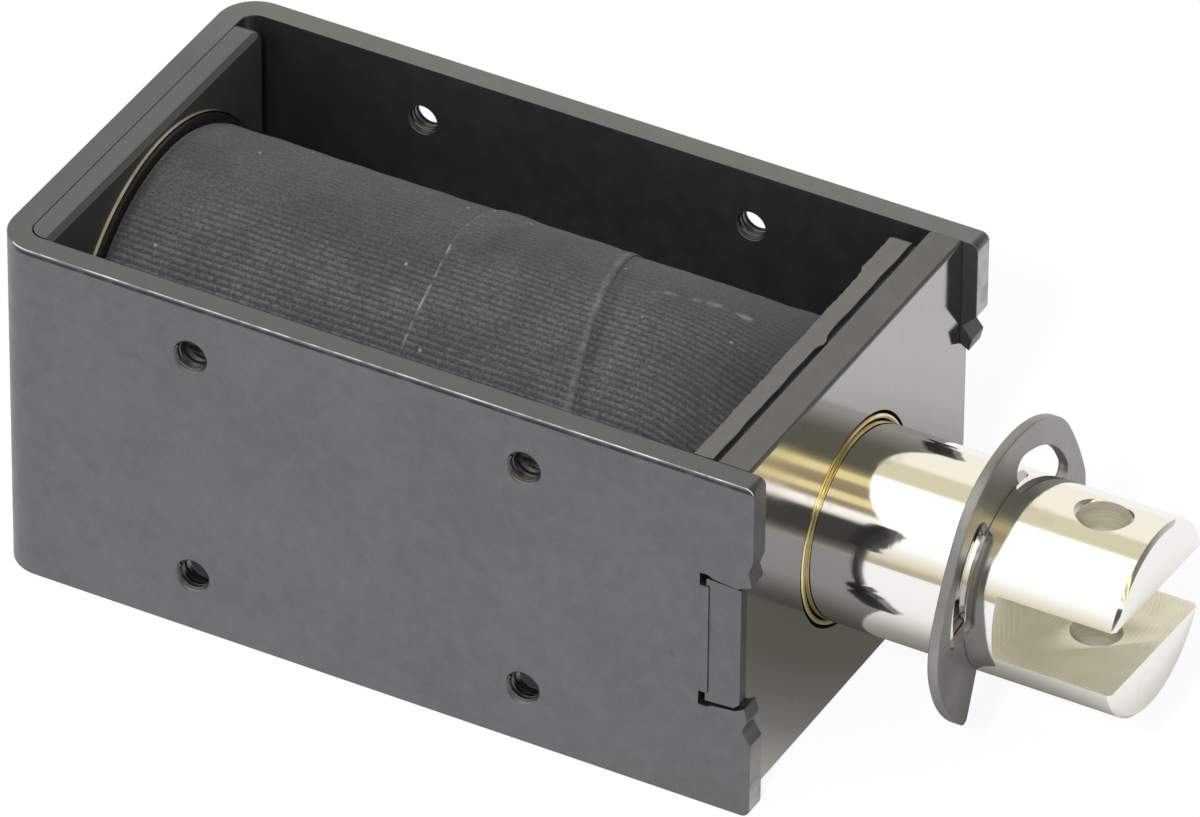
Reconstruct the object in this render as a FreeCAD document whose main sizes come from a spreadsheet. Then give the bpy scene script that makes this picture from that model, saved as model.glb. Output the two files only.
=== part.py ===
"""Open-frame push pull solenoid with a pull plunger that ends in a clevis.

A strip of steel is bent into a U and closed in front by a staked end plate. Between them sits a
brass tube with a taped winding, and a nickel plated plunger runs in the tube. The part stands on
its lower edge with +X along the plunger, out of the frame, +Y to the far wall and +Z up. Its origin
is under the middle of its whole length. All sizes are millimetres and degrees.
"""

import FreeCAD
import Part
import Sketcher

import math
import os

DOCUMENT = FreeCAD.newDocument("push_pull_solenoid")
SHEET = DOCUMENT.addObject("Spreadsheet::Sheet", "sizes")

SIZE_TABLE = (
    ("frame_length", 64.3, "rear face to the ends of the side walls"),
    ("frame_width", 37.0, "across the outer faces of the side walls"),
    ("frame_height", 30.0, "width of the steel strip, standing up"),
    ("frame_sheet", 1.9, "thickness of the bent strip"),
    ("bend_inner_radius", 1.3, "inside of the two rear bends"),
    ("wall_end_radius", 0.7, "rounding of the outer corners of each wall end"),
    ("axis_height", 15.0, "plunger axis above the lower edge"),
    ("mount_hole_diameter", 2.5, "tapping size of an M3 thread"),
    ("mount_hole_chamfer", 0.25, "countersink of the tapped holes"),
    ("mount_centre_from_rear", 31.1, "middle of the hole pattern from the rear face"),
    ("mount_spacing_long", 28.2, "hole to hole along the plunger"),
    ("mount_spacing_tall", 20.2, "hole to hole across the strip"),
    ("notch_depth", 4.15, "notch for the end plate's tab, from the wall end"),
    ("notch_height", 11.6, "clear height of that notch"),
    ("notch_relief", 0.45, "relief in the inner corners of the notch"),
    ("stake_reach", 0.65, "how far a staked lip stands into the notch"),
    ("stake_dent_depth", 1.1, "depth of the chisel mark in the wall end"),
    ("stake_dent_height", 1.7, "height of that mark"),
    ("stake_dent_offset", 0.9, "from the notch to the lower side of the mark"),
    ("end_plate_thickness", 2.8, "steel end plate"),
    ("end_plate_setback", 1.3, "its face behind the wall ends"),
    ("end_plate_side_gap", 0.05, "fit between the plate and each wall"),
    ("end_plate_round", 0.3, "rounded upper and lower edges of the end plate"),
    ("tab_height", 11.1, "height of the tabs on the end plate"),
    ("tab_recess", 0.8, "tab end below the wall's outer face"),
    ("tube_hole_gap", 0.22, "radial gap round the tube in the front plates"),
    ("front_plate_thickness", 1.6, "inner plate behind the end plate"),
    ("front_plate_gap", 0.3, "gap between the two front plates"),
    ("rear_plate_thickness", 2.0, "inner plate on the rear wall"),
    ("rear_plate_gap", 0.05, "gap between that plate and the rear wall"),
    ("inner_plate_near_gap", 0.1, "inner plates to the near wall"),
    ("inner_plate_far_gap", 1.3, "inner plates to the far wall"),
    ("inner_plate_corner", 1.2, "rounded far upper corner of the inner plates"),
    ("rear_plate_round", 0.5, "rounded upper edge of the rear plate"),
    ("plunger_diameter", 15.4, "the plunger's running diameter"),
    ("plunger_clearance", 0.1, "radial clearance of the plunger in the tube"),
    ("tube_wall", 0.45, "wall of the brass tube"),
    ("tube_stand_out", 0.1, "tube rim in front of the end plate's face"),
    ("flange_diameter", 28.6, "brass flanges of the bobbin"),
    ("flange_thickness", 0.25, "sheet of those flanges"),
    ("washer_thickness", 0.3, "insulating washers beside the winding"),
    ("washer_margin", 0.15, "flange rim left bare outside the washers"),
    ("sleeve_thickness", 0.2, "insulating film round the tube"),
    ("winding_diameter", 26.6, "outside of the copper winding"),
    ("tape_thickness", 0.4, "one wrap of cloth tape"),
    ("tape_end_gap", 0.1, "tape to the washers at each end"),
    ("middle_tape_start", 23.8, "rear edge of the middle wrap from the winding's rear"),
    ("middle_tape_width", 14.5, "width of the middle wrap"),
    ("tape_overlap", 1.6, "middle wrap over the wraps beside it"),
    ("core_length", 14.0, "stop core in front of the rear plate"),
    ("core_gap", 0.05, "radial gap of the stop core in the tube"),
    ("core_spigot_diameter", 9.0, "spigot through the rear plate and wall"),
    ("core_head_diameter", 11.0, "staked head in the rear wall"),
    ("core_head_depth", 0.9, "depth of that head"),
    ("core_mark_depth", 1.0, "centre mark in the staked head"),
    ("spigot_gap", 0.03, "radial gap of the spigot in its holes"),
    ("cone_depth", 4.0, "cone of the plunger nose and of the core"),
    ("cone_rim", 0.9, "flat rim round the cone"),
    ("nose_diameter", 5.6, "flat end of the plunger nose"),
    ("cone_gap", 0.3, "gap left between the cones when pulled in"),
    ("plunger_stroke", 11.95, "travel from the rest place to pulled in"),
    ("ring_stop_gap", 0.25, "ring to tube rim when pulled in"),
    ("clevis_length", 11.92, "ring groove to the plunger's tip"),
    ("slot_depth", 9.65, "clevis slot from the tip"),
    ("slot_height", 5.5, "clear height of the clevis slot"),
    ("pin_hole_diameter", 4.0, "cross hole for the clevis pin"),
    ("pin_hole_from_tip", 4.8, "that hole's axis from the tip"),
    ("pin_hole_chamfer", 0.3, "countersink of the cross hole"),
    ("plunger_edge", 0.3, "chamfer at the plunger's tip"),
    ("groove_diameter", 12.0, "floor of the retaining ring's groove"),
    ("groove_side_gap", 0.03, "gap on each side of the ring in its groove"),
    ("ring_diameter", 23.9, "outside of the retaining ring"),
    ("ring_thickness", 0.85, "sheet of the retaining ring"),
    ("ring_flank_radius", 30.0, "arc of the ring's two flatter flanks"),
    ("ring_near_flank_depth", 0.9, "how far the near flank lies inside the ring's circle"),
    ("ring_far_flank_depth", 0.4, "how far the far flank lies inside it"),
    ("ring_flank_blend", 8.0, "rounding between the flanks and the circle"),
    ("ring_lobe_gap", 0.03, "radial gap of the ring's lobes in the groove"),
    ("ring_window_radius", 9.75, "outside of the two windows in the ring"),
    ("ring_window_start", 17.5, "angle from the middle lobe's axis to a window"),
    ("ring_window_angle", 67.0, "angle that each window spans"),
    ("ring_mouth", 7.2, "opening between the ring's legs, carried on to the axis"),
    ("ring_mouth_flare", 9.17, "widening of that opening on each side, outside"),
    ("ring_leg_round", 0.55, "rounded ends of the ring's legs"),
    ("ring_window_round", 1.0, "rounded outer corners of the windows"),
    ("ring_turn", 14.5, "how far the ring stands turned in its groove"),
    ("plunger_turn", -3.5, "how far the plunger stands turned about its axis"),
    ("cut_margin", 1.0, "how far a cutting shape stands past the metal"),
)


class Size:
    """A length or an angle: its number and the formula that gives it from the sheet."""

    def __init__(self, number, formula):
        self.number = float(number)
        self.formula = formula

    def joined(self, other, number, sign):
        return Size(number, f"({self.formula} {sign} {as_size(other).formula})")

    def __add__(self, other):
        return self.joined(other, self.number + as_size(other).number, "+")

    def __sub__(self, other):
        return self.joined(other, self.number - as_size(other).number, "-")

    def __mul__(self, other):
        return self.joined(other, self.number * as_size(other).number, "*")

    def __truediv__(self, other):
        return self.joined(other, self.number / as_size(other).number, "/")

    def __neg__(self):
        return Size(-self.number, f"(0 - {self.formula})")


def as_size(value):
    """A plain number as a Size, and a Size as it is."""
    if isinstance(value, Size):
        return value
    return Size(value, repr(float(value)))


def fill_sheet():
    """Write every driving size into the sheet and return them by name."""
    sizes = {}
    for row, (name, number, meaning) in enumerate(SIZE_TABLE, 1):
        SHEET.set(f"A{row}", name)
        SHEET.set(f"B{row}", str(number))
        SHEET.set(f"C{row}", meaning)
        SHEET.setAlias(f"B{row}", name)
        sizes[name] = Size(number, f"sizes.{name}")
    DOCUMENT.recompute()
    return sizes


S = fill_sheet()
NIL = Size(0.0, "0")
START_POINT, END_POINT, CENTRE_POINT = 1, 2, 3
NEAR_FLANK_LEAN = math.radians(42.5)
FAR_FLANK_LEAN = math.radians(12.5)


class Places:
    """Stations along the plunger axis from the rear face, and radii and heights built on them."""

    half_width = S["frame_width"] / 2
    inner_half_width = half_width - S["frame_sheet"]
    below_axis = -S["axis_height"]
    above_axis = S["frame_height"] - S["axis_height"]
    plate_near = -inner_half_width + S["inner_plate_near_gap"]
    plate_far = inner_half_width - S["inner_plate_far_gap"]

    rear_plate = S["frame_sheet"] + S["rear_plate_gap"]
    rear_flange = rear_plate + S["rear_plate_thickness"]
    rear_washer = rear_flange + S["flange_thickness"]
    winding_start = rear_washer + S["washer_thickness"]

    end_plate_face = S["frame_length"] - S["end_plate_setback"]
    end_plate = end_plate_face - S["end_plate_thickness"]
    front_plate = end_plate - S["front_plate_gap"] - S["front_plate_thickness"]
    front_flange = front_plate - S["flange_thickness"]
    winding_end = front_flange - S["washer_thickness"]
    winding_length = winding_end - winding_start
    tube_end = end_plate_face + S["tube_stand_out"]

    plunger_radius = S["plunger_diameter"] / 2
    bore_radius = plunger_radius + S["plunger_clearance"]
    tube_radius = bore_radius + S["tube_wall"]
    tube_hole_radius = tube_radius + S["tube_hole_gap"]
    sleeve_radius = tube_radius + S["sleeve_thickness"]
    winding_radius = S["winding_diameter"] / 2
    tape_radius = winding_radius + S["tape_thickness"]
    overlap_radius = tape_radius + S["tape_thickness"]
    flange_radius = S["flange_diameter"] / 2
    washer_radius = flange_radius - S["washer_margin"]

    core_face = rear_flange + S["core_length"]
    core_radius = bore_radius - S["core_gap"]
    spigot_radius = S["core_spigot_diameter"] / 2
    spigot_hole_radius = spigot_radius + S["spigot_gap"]
    head_radius = S["core_head_diameter"] / 2

    nose_radius = S["nose_diameter"] / 2
    cone_radius = plunger_radius - S["cone_rim"]
    nose = core_face - S["cone_depth"] + S["cone_gap"] + S["plunger_stroke"]
    ring = tube_end + S["ring_stop_gap"] + S["plunger_stroke"]
    groove = ring - S["groove_side_gap"]
    groove_width = S["ring_thickness"] + S["groove_side_gap"] * 2
    tip = groove + groove_width + S["clevis_length"]
    groove_radius = S["groove_diameter"] / 2

    mount_rear = S["mount_centre_from_rear"] - S["mount_spacing_long"] / 2
    mount_front = S["mount_centre_from_rear"] + S["mount_spacing_long"] / 2
    mount_low = S["axis_height"] - S["mount_spacing_tall"] / 2
    mount_high = S["axis_height"] + S["mount_spacing_tall"] / 2


def bind(item, field, size):
    """Tie one field of an object to the sheet."""
    item.setExpression(field, as_size(size).formula)


def place(item, along=NIL, up=NIL, turn=None):
    """Set a sub-part at its station: along from the rear face, up from the lower edge."""
    bind(item, ".Placement.Base.x", along - Places.tip / 2)
    bind(item, ".Placement.Base.z", up)
    if turn is not None:
        item.Placement = FreeCAD.Placement(
            FreeCAD.Vector(0, 0, 0), FreeCAD.Rotation(FreeCAD.Vector(1, 0, 0), turn.number)
        )
        bind(item, ".Placement.Rotation.Angle", turn)


def new_body(name):
    body = DOCUMENT.addObject("PartDesign::Body", name)
    body.Label = name
    return body


def origin_feature(body, role):
    return next(item for item in body.Origin.OriginFeatures if item.Role == role)


def new_sketch(body, name, role):
    sketch = body.newObject("Sketcher::SketchObject", f"{body.Name}_{name}")
    sketch.AttachmentSupport = [(origin_feature(body, role), "")]
    sketch.MapMode = "FlatFace"
    return sketch


def fix_point(sketch, element, corner, point, label):
    """Hold one point of a sketch at two sizes."""
    for kind, letter, size in zip(("DistanceX", "DistanceY"), "ab", point):
        size = as_size(size)
        index = sketch.addConstraint(Sketcher.Constraint(kind, element, corner, size.number))
        sketch.renameConstraint(index, f"{letter}{label}")
        bind(sketch, f"Constraints.{letter}{label}", size)


def outline(body, name, role, points):
    """A closed sketch of straight lines through points whose places are tied to the sheet."""
    sketch = new_sketch(body, name, role)
    corners = [FreeCAD.Vector(as_size(a).number, as_size(b).number, 0) for a, b in points]
    count = len(corners)
    for index in range(count):
        sketch.addGeometry(Part.LineSegment(corners[index], corners[(index + 1) % count]))
    for index in range(count):
        following = (index + 1) % count
        sketch.addConstraint(Sketcher.Constraint("Coincident", index, END_POINT, following, START_POINT))
    for index, point in enumerate(points):
        fix_point(sketch, index, START_POINT, point, index)
    return sketch


def circles(body, name, role, centres, radius):
    """A sketch of equal circles."""
    sketch = new_sketch(body, name, role)
    for index, (across, along) in enumerate(centres):
        middle = FreeCAD.Vector(as_size(across).number, as_size(along).number, 0)
        sketch.addGeometry(Part.Circle(middle, FreeCAD.Vector(0, 0, 1), radius.number))
        fix_point(sketch, index, CENTRE_POINT, (across, along), index)
        rule = sketch.addConstraint(Sketcher.Constraint("Radius", index, radius.number))
        sketch.renameConstraint(rule, f"r{index}")
        bind(sketch, f"Constraints.r{index}", radius)
    return sketch


def pad(body, sketch, length):
    feature = body.newObject("PartDesign::Pad", f"{sketch.Name}_pad")
    feature.Profile = sketch
    bind(feature, "Length", length)
    return feature


def cut_through(body, sketch):
    """Cut a sketch out of the whole body, to both sides of its plane."""
    before = body.Shape.Volume
    feature = body.newObject("PartDesign::Pocket", f"{sketch.Name}_cut")
    feature.Profile = sketch
    feature.Type = "ThroughAll"
    feature.SideType = "Symmetric"
    DOCUMENT.recompute()
    confirm_cut(feature, before)
    return feature


def turned(body, kind, sketch, axis):
    """Revolve a sketch a full turn, as new metal or as a groove."""
    feature = body.newObject(f"PartDesign::{kind}", f"{sketch.Name}_turned")
    feature.Profile = sketch
    feature.ReferenceAxis = axis
    feature.Angle = 360
    return feature


def groove(body, sketch, axis):
    before = body.Shape.Volume
    feature = turned(body, "Groove", sketch, axis)
    DOCUMENT.recompute()
    confirm_cut(feature, before)
    return feature


def confirm_cut(feature, before):
    if feature.Shape.Volume > before - 1e-6:
        raise RuntimeError(f"{feature.Name} takes nothing away")


def edges_where(feature, test):
    """Names of the edges whose middle and direction pass a test."""
    names = []
    for number, edge in enumerate(feature.Shape.Edges, 1):
        middle = edge.valueAt((edge.FirstParameter + edge.LastParameter) / 2)
        if test(edge, middle):
            names.append(f"Edge{number}")
    if not names:
        raise RuntimeError(f"no edge found on {feature.Name}")
    return names


def runs_along(edge, direction):
    """Whether an edge is straight and parallel to a direction."""
    if not isinstance(edge.Curve, (Part.Line, Part.LineSegment)):
        return False
    return abs(edge.Curve.Direction.dot(FreeCAD.Vector(*direction))) > 0.999


def near(value, size, limit=0.01):
    return abs(value - as_size(size).number) < limit


def fillet(body, base, test, radius, name):
    DOCUMENT.recompute()
    feature = body.newObject("PartDesign::Fillet", f"{body.Name}_{name}")
    feature.Base = (base, edges_where(base, test))
    bind(feature, "Radius", radius)
    return feature


def chamfer(body, base, test, size, name):
    DOCUMENT.recompute()
    feature = body.newObject("PartDesign::Chamfer", f"{body.Name}_{name}")
    feature.Base = (base, edges_where(base, test))
    bind(feature, "Size", size)
    return feature


def round_piece(name, profile, along):
    """A piece turned about the plunger axis from a profile of stations and radii."""
    body = new_body(name)
    sketch = outline(body, "profile", "XY_Plane", profile)
    turned(body, "Revolution", sketch, (origin_feature(body, "X_Axis"), [""]))
    place(body, along, S["axis_height"])
    return body


def ring_piece(name, along, length, inside, outside):
    """A plain washer or sleeve on the plunger axis."""
    profile = ((NIL, inside), (length, inside), (length, outside), (NIL, outside))
    return round_piece(name, profile, along)


def frame_yoke():
    """The strip bent into a U, with tapped holes and the notches that hold the end plate."""
    body = new_body("frame_yoke")
    width = Places.half_width
    inner = Places.inner_half_width
    length = S["frame_length"]
    sheet = S["frame_sheet"]
    beyond = length + S["cut_margin"]
    upright = (0, 0, 1)
    block = pad(
        body,
        outline(
            body, "outer", "XY_Plane", ((NIL, -width), (length, -width), (length, width), (NIL, width))
        ),
        S["frame_height"],
    )
    outer_bends = fillet(
        body,
        block,
        lambda edge, at: runs_along(edge, upright) and near(at.x, 0),
        S["bend_inner_radius"] + sheet,
        "outer_bends",
    )
    DOCUMENT.recompute()
    hollow = cut_through(
        body,
        outline(
            body,
            "hollow",
            "XY_Plane",
            ((sheet, -inner), (beyond, -inner), (beyond, inner), (sheet, inner)),
        ),
    )
    inner_bends = fillet(
        body,
        hollow,
        lambda edge, at: runs_along(edge, upright) and near(at.x, sheet),
        S["bend_inner_radius"],
        "inner_bends",
    )
    DOCUMENT.recompute()
    wall_ends = fillet(
        body,
        inner_bends,
        lambda edge, at: runs_along(edge, (0, 1, 0)) and near(at.x, length),
        S["wall_end_radius"],
        "wall_ends",
    )
    DOCUMENT.recompute()
    notched = cut_through(body, outline(body, "notch", "XZ_Plane", notch_points()))
    centres = [
        (along, up)
        for along in (Places.mount_rear, Places.mount_front)
        for up in (Places.mount_low, Places.mount_high)
    ]
    drilled = cut_through(
        body, circles(body, "mount_holes", "XZ_Plane", centres, S["mount_hole_diameter"] / 2)
    )
    chamfer(
        body,
        drilled,
        lambda edge, at: isinstance(edge.Curve, Part.Circle)
        and near(abs(at.y), width)
        and near(edge.Curve.Radius, S["mount_hole_diameter"] / 2),
        S["mount_hole_chamfer"],
        "mount_hole_chamfers",
    )
    DOCUMENT.recompute()
    head = outline(body, "core_seat", "XZ_Plane", core_seat_points())
    bind(head, ".AttachmentOffset.Base.y", S["axis_height"])
    groove(body, head, (head, ["H_Axis"]))
    place(body)


def notch_points():
    """The tab's notch with its relieved corners, staked lips and chisel marks."""
    end = S["frame_length"]
    floor = end - S["notch_depth"]
    half = S["notch_height"] / 2
    relief = S["notch_relief"]
    lip_back = end - S["end_plate_setback"]
    lip_tip = end - S["stake_dent_depth"] / 2
    mark_low = half + S["stake_dent_offset"]
    mark_high = mark_low + S["stake_dent_height"]
    mark_root = end - S["stake_dent_depth"]
    upper = (
        (floor - relief / 2, half - relief),
        (floor - relief / 2, half + relief / 2),
        (floor + relief, half + relief / 2),
        (floor + relief * 2, half),
        (lip_back, half - S["stake_reach"] / 3),
        (lip_tip, half - S["stake_reach"]),
        (end - S["stake_dent_depth"] / 4, mark_low - S["stake_dent_offset"] / 2),
        (mark_root, mark_low + S["stake_dent_height"] / 3),
        (end, mark_high),
        (end + S["cut_margin"], mark_high),
    )
    middle = S["axis_height"]
    above = [(along, middle + up) for along, up in upper]
    below = [(along, middle - up) for along, up in reversed(upper)]
    return above + below


def core_seat_points():
    """The rear wall's hole for the stop core, countersunk outside for the staked head."""
    through = S["frame_sheet"] + S["cut_margin"]
    return (
        (NIL, NIL),
        (NIL, Places.head_radius),
        (S["core_head_depth"], Places.spigot_hole_radius),
        (through, Places.spigot_hole_radius),
        (through, NIL),
    )


def end_plate():
    """The steel plate that closes the frame, its tabs caught in the notches of the walls."""
    body = new_body("end_plate")
    side = Places.inner_half_width - S["end_plate_side_gap"]
    reach = Places.half_width - S["tab_recess"]
    tab = S["tab_height"] / 2
    low = Places.below_axis
    high = Places.above_axis
    right = ((side, low), (side, -tab), (reach, -tab), (reach, tab), (side, tab), (side, high))
    left = tuple((-across, up) for across, up in reversed(right))
    plate = pad(body, outline(body, "plate", "YZ_Plane", right + left), S["end_plate_thickness"])
    fillet(
        body,
        plate,
        lambda edge, at: runs_along(edge, (0, 1, 0)) and (near(at.z, high) or near(at.z, low)),
        S["end_plate_round"],
        "rounded_edges",
    )
    DOCUMENT.recompute()
    cut_through(body, circles(body, "bore", "YZ_Plane", ((NIL, NIL),), Places.tube_hole_radius))
    place(body, Places.end_plate, S["axis_height"])


def inner_plate(name, thickness, hole_radius, along):
    """A plain plate that stands against a wall's inside, short of the far wall."""
    body = new_body(name)
    low = Places.below_axis
    high = Places.above_axis
    near_side = Places.plate_near
    far_side = Places.plate_far
    corners = ((near_side, low), (far_side, low), (far_side, high), (near_side, high))
    plate = pad(body, outline(body, "plate", "YZ_Plane", corners), thickness)
    fillet(
        body,
        plate,
        lambda edge, at: runs_along(edge, (1, 0, 0)) and near(at.y, far_side) and near(at.z, high),
        S["inner_plate_corner"],
        "corner",
    )
    DOCUMENT.recompute()
    cut_through(body, circles(body, "bore", "YZ_Plane", ((NIL, NIL),), hole_radius))
    place(body, along, S["axis_height"])
    return body


def front_inner_plate():
    inner_plate(
        "front_inner_plate", S["front_plate_thickness"], Places.tube_hole_radius, Places.front_plate
    )


def rear_inner_plate():
    """The rear plate: its upper inner edge is worn round and one edge clears the frame's bend."""
    body = inner_plate(
        "rear_inner_plate", S["rear_plate_thickness"], Places.spigot_hole_radius, Places.rear_plate
    )
    worn = fillet(
        body,
        body.Tip,
        lambda edge, at: runs_along(edge, (0, 1, 0))
        and near(at.x, S["rear_plate_thickness"])
        and near(at.z, Places.above_axis),
        S["rear_plate_round"],
        "worn_edge",
    )
    fillet(
        body,
        worn,
        lambda edge, at: runs_along(edge, (0, 0, 1))
        and near(at.x, 0)
        and near(at.y, Places.plate_near),
        S["bend_inner_radius"],
        "bend_relief",
    )


def stop_core():
    """The fixed pole in the rear of the tube, headed over in the rear wall."""
    shoulder = Places.rear_flange
    face = Places.core_face
    mark = S["core_mark_depth"]
    mouth = Places.cone_radius
    profile = (
        (mark, NIL),
        (NIL, mark),
        (NIL, Places.head_radius - S["spigot_gap"]),
        (S["core_head_depth"], Places.spigot_radius),
        (shoulder, Places.spigot_radius),
        (shoulder, Places.core_radius),
        (face, Places.core_radius),
        (face, mouth),
        (face - S["cone_depth"], Places.nose_radius),
        (face - S["cone_depth"], NIL),
    )
    round_piece("stop_core", profile, NIL)


def bobbin():
    """The brass tube, its two flanges and the insulation between them and the winding."""
    ring_piece(
        "bobbin_tube",
        Places.rear_flange,
        Places.tube_end - Places.rear_flange,
        Places.bore_radius,
        Places.tube_radius,
    )
    for name, along in (("rear_flange", Places.rear_flange), ("front_flange", Places.front_flange)):
        ring_piece(name, along, S["flange_thickness"], Places.tube_radius, Places.flange_radius)
    for name, along in (
        ("rear_insulating_washer", Places.rear_washer),
        ("front_insulating_washer", Places.winding_end),
    ):
        ring_piece(name, along, S["washer_thickness"], Places.tube_radius, Places.washer_radius)
    ring_piece(
        "insulating_sleeve",
        Places.winding_start,
        Places.winding_length,
        Places.tube_radius,
        Places.sleeve_radius,
    )


def coil():
    """The winding and the three wraps of cloth tape round it, the middle one over the others."""
    ring_piece(
        "coil_winding",
        Places.winding_start,
        Places.winding_length,
        Places.sleeve_radius,
        Places.winding_radius,
    )
    rear = S["tape_end_gap"]
    front = Places.winding_length - S["tape_end_gap"]
    lap = S["tape_overlap"]
    middle_start = S["middle_tape_start"]
    middle_end = middle_start + S["middle_tape_width"]
    wound = Places.winding_radius
    taped = Places.tape_radius
    for name, start, end in (
        ("rear_tape_wrap", rear, middle_start + lap),
        ("front_tape_wrap", middle_end - lap, front),
    ):
        ring_piece(name, Places.winding_start + start, end - start, wound, taped)
    width = S["middle_tape_width"]
    step = S["tape_thickness"]
    middle = (
        (NIL, taped),
        (lap, taped),
        (lap, wound),
        (width - lap, wound),
        (width - lap, taped),
        (width, taped),
        (width, Places.overlap_radius),
        (width - lap - step, Places.overlap_radius),
        (width - lap - step * 3, taped),
        (lap + step * 3, taped),
        (lap + step, Places.overlap_radius),
        (NIL, Places.overlap_radius),
    )
    round_piece("middle_tape_wrap", middle, Places.winding_start + middle_start)


def plunger():
    """The plated plunger: a cone nose, the ring's groove and a slotted clevis with a cross hole."""
    body = new_body("plunger")
    radius = Places.plunger_radius
    length = Places.tip - Places.nose
    edge = S["plunger_edge"]
    profile = (
        (NIL, NIL),
        (NIL, Places.nose_radius),
        (S["cone_depth"], Places.cone_radius),
        (S["cone_depth"], radius - edge / 2),
        (S["cone_depth"] + edge / 2, radius),
        (length - edge, radius),
        (length, radius - edge),
        (length, NIL),
    )
    axis = (origin_feature(body, "X_Axis"), [""])
    turned(body, "Revolution", outline(body, "profile", "XY_Plane", profile), axis)
    DOCUMENT.recompute()
    start = Places.groove - Places.nose
    end = start + Places.groove_width
    outside = radius + S["cut_margin"]
    groove_points = (
        (start, Places.groove_radius),
        (end, Places.groove_radius),
        (end, outside),
        (start, outside),
    )
    groove(body, outline(body, "ring_groove", "XY_Plane", groove_points), axis)
    half_slot = S["slot_height"] / 2
    root = length - S["slot_depth"]
    beyond = length + S["cut_margin"]
    cut_through(
        body,
        outline(
            body,
            "clevis_slot",
            "XZ_Plane",
            ((root, -half_slot), (beyond, -half_slot), (beyond, half_slot), (root, half_slot)),
        ),
    )
    hole = S["pin_hole_diameter"] / 2
    sink = S["pin_hole_chamfer"]
    wide = hole + sink * 2
    hole_sketch = outline(
        body,
        "pin_hole",
        "XZ_Plane",
        (
            (NIL, -(radius + sink)),
            (wide, -(radius + sink)),
            (hole, -(radius - sink)),
            (hole, radius - sink),
            (wide, radius + sink),
            (NIL, radius + sink),
        ),
    )
    bind(hole_sketch, ".AttachmentOffset.Base.x", length - S["pin_hole_from_tip"])
    groove(body, hole_sketch, (hole_sketch, ["V_Axis"]))
    place(body, Places.nose, S["axis_height"], S["plunger_turn"])


def e_ring():
    """The open retaining ring: three lobes grip the groove, two windows lie between them."""
    thickness = S["ring_thickness"]
    disc = cylinder("ring_disc", S["ring_diameter"] / 2, thickness)
    outer = DOCUMENT.addObject("Part::MultiCommon", "ring_outside")
    near_flank = ring_flank("ring_flank_near", 1, S["ring_near_flank_depth"], NEAR_FLANK_LEAN)
    far_flank = ring_flank("ring_flank_far", -1, S["ring_far_flank_depth"], FAR_FLANK_LEAN)
    outer.Shapes = [disc, near_flank, far_flank]
    bore = cylinder("ring_bore", Places.groove_radius + S["ring_lobe_gap"], thickness + S["cut_margin"])
    windows = [ring_window("ring_window_far", 1), ring_window("ring_window_near", -1)]
    mouth = ring_mouth(thickness)
    tools = DOCUMENT.addObject("Part::MultiFuse", "ring_cuts")
    tools.Shapes = [bore, mouth] + windows
    blank = DOCUMENT.addObject("Part::Cut", "ring_blank")
    blank.Base = outer
    blank.Tool = tools
    DOCUMENT.recompute()
    ring = DOCUMENT.addObject("Part::Fillet", "e_ring")
    ring.Label = "e_ring"
    ring.Base = blank
    rounds = []
    for number, edge in enumerate(blank.Shape.Edges, 1):
        if not runs_along(edge, (0, 0, 1)):
            continue
        at = edge.Vertexes[0].Point
        reach = (at.x**2 + at.y**2) ** 0.5
        if near(reach, S["ring_diameter"] / 2):
            size = S["ring_flank_blend"] if at.y > 0 else S["ring_leg_round"]
            rounds.append((number, size.number, size.number))
        elif near(reach, S["ring_window_radius"]):
            rounds.append((number, S["ring_window_round"].number, S["ring_window_round"].number))
    ring.Edges = rounds
    bind(ring, ".Placement.Base.x", Places.ring - Places.tip / 2)
    bind(ring, ".Placement.Base.z", S["axis_height"])
    upright = FreeCAD.Rotation(FreeCAD.Vector(0, 1, 0), FreeCAD.Vector(0, 0, 1), FreeCAD.Vector(1, 0, 0))
    turn = FreeCAD.Rotation(FreeCAD.Vector(1, 0, 0), S["ring_turn"].number)
    ring.Placement = FreeCAD.Placement(ring.Placement.Base, turn.multiply(upright))


def cylinder(name, radius, height):
    item = DOCUMENT.addObject("Part::Cylinder", name)
    bind(item, "Radius", radius)
    bind(item, "Height", height)
    return item


def ring_flank(name, side, depth, lean):
    """A wide disc whose edge is one flank of the ring, flatter than its circle."""
    item = cylinder(name, S["ring_flank_radius"], S["ring_thickness"])
    away = S["ring_flank_radius"] - S["ring_diameter"] / 2 + depth
    across = away * math.cos(lean)
    bind(item, ".Placement.Base.x", across if side > 0 else -across)
    bind(item, ".Placement.Base.y", -(away * math.sin(lean)))
    return item


def ring_window(name, side):
    """A wedge of the window's radius, to one side of the middle lobe."""
    item = cylinder(name, S["ring_window_radius"], S["ring_thickness"] + S["cut_margin"])
    bind(item, "Angle", S["ring_window_angle"])
    lobe = Size(90.0, "90")
    if side > 0:
        start = lobe - S["ring_window_start"] - S["ring_window_angle"]
    else:
        start = lobe + S["ring_window_start"]
    bind(item, ".Placement.Rotation.Angle", start)
    return item


def ring_mouth(thickness):
    """The opening between the legs, a little wider outside than at the groove."""
    item = DOCUMENT.addObject("Part::Wedge", "ring_mouth_wedge")
    half = S["ring_mouth"] / 2
    wide = half + S["ring_mouth_flare"]
    depth = S["ring_diameter"] / 2 + S["cut_margin"]
    bind(item, "Ymin", -depth)
    item.Ymax = 0
    for field, size in (("Xmin", -wide), ("Xmax", wide), ("X2min", -half), ("X2max", half)):
        bind(item, field, size)
    for field, size in (("Zmin", NIL), ("Z2min", NIL), ("Zmax", thickness), ("Z2max", thickness)):
        bind(item, field, size)
    return item


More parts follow.
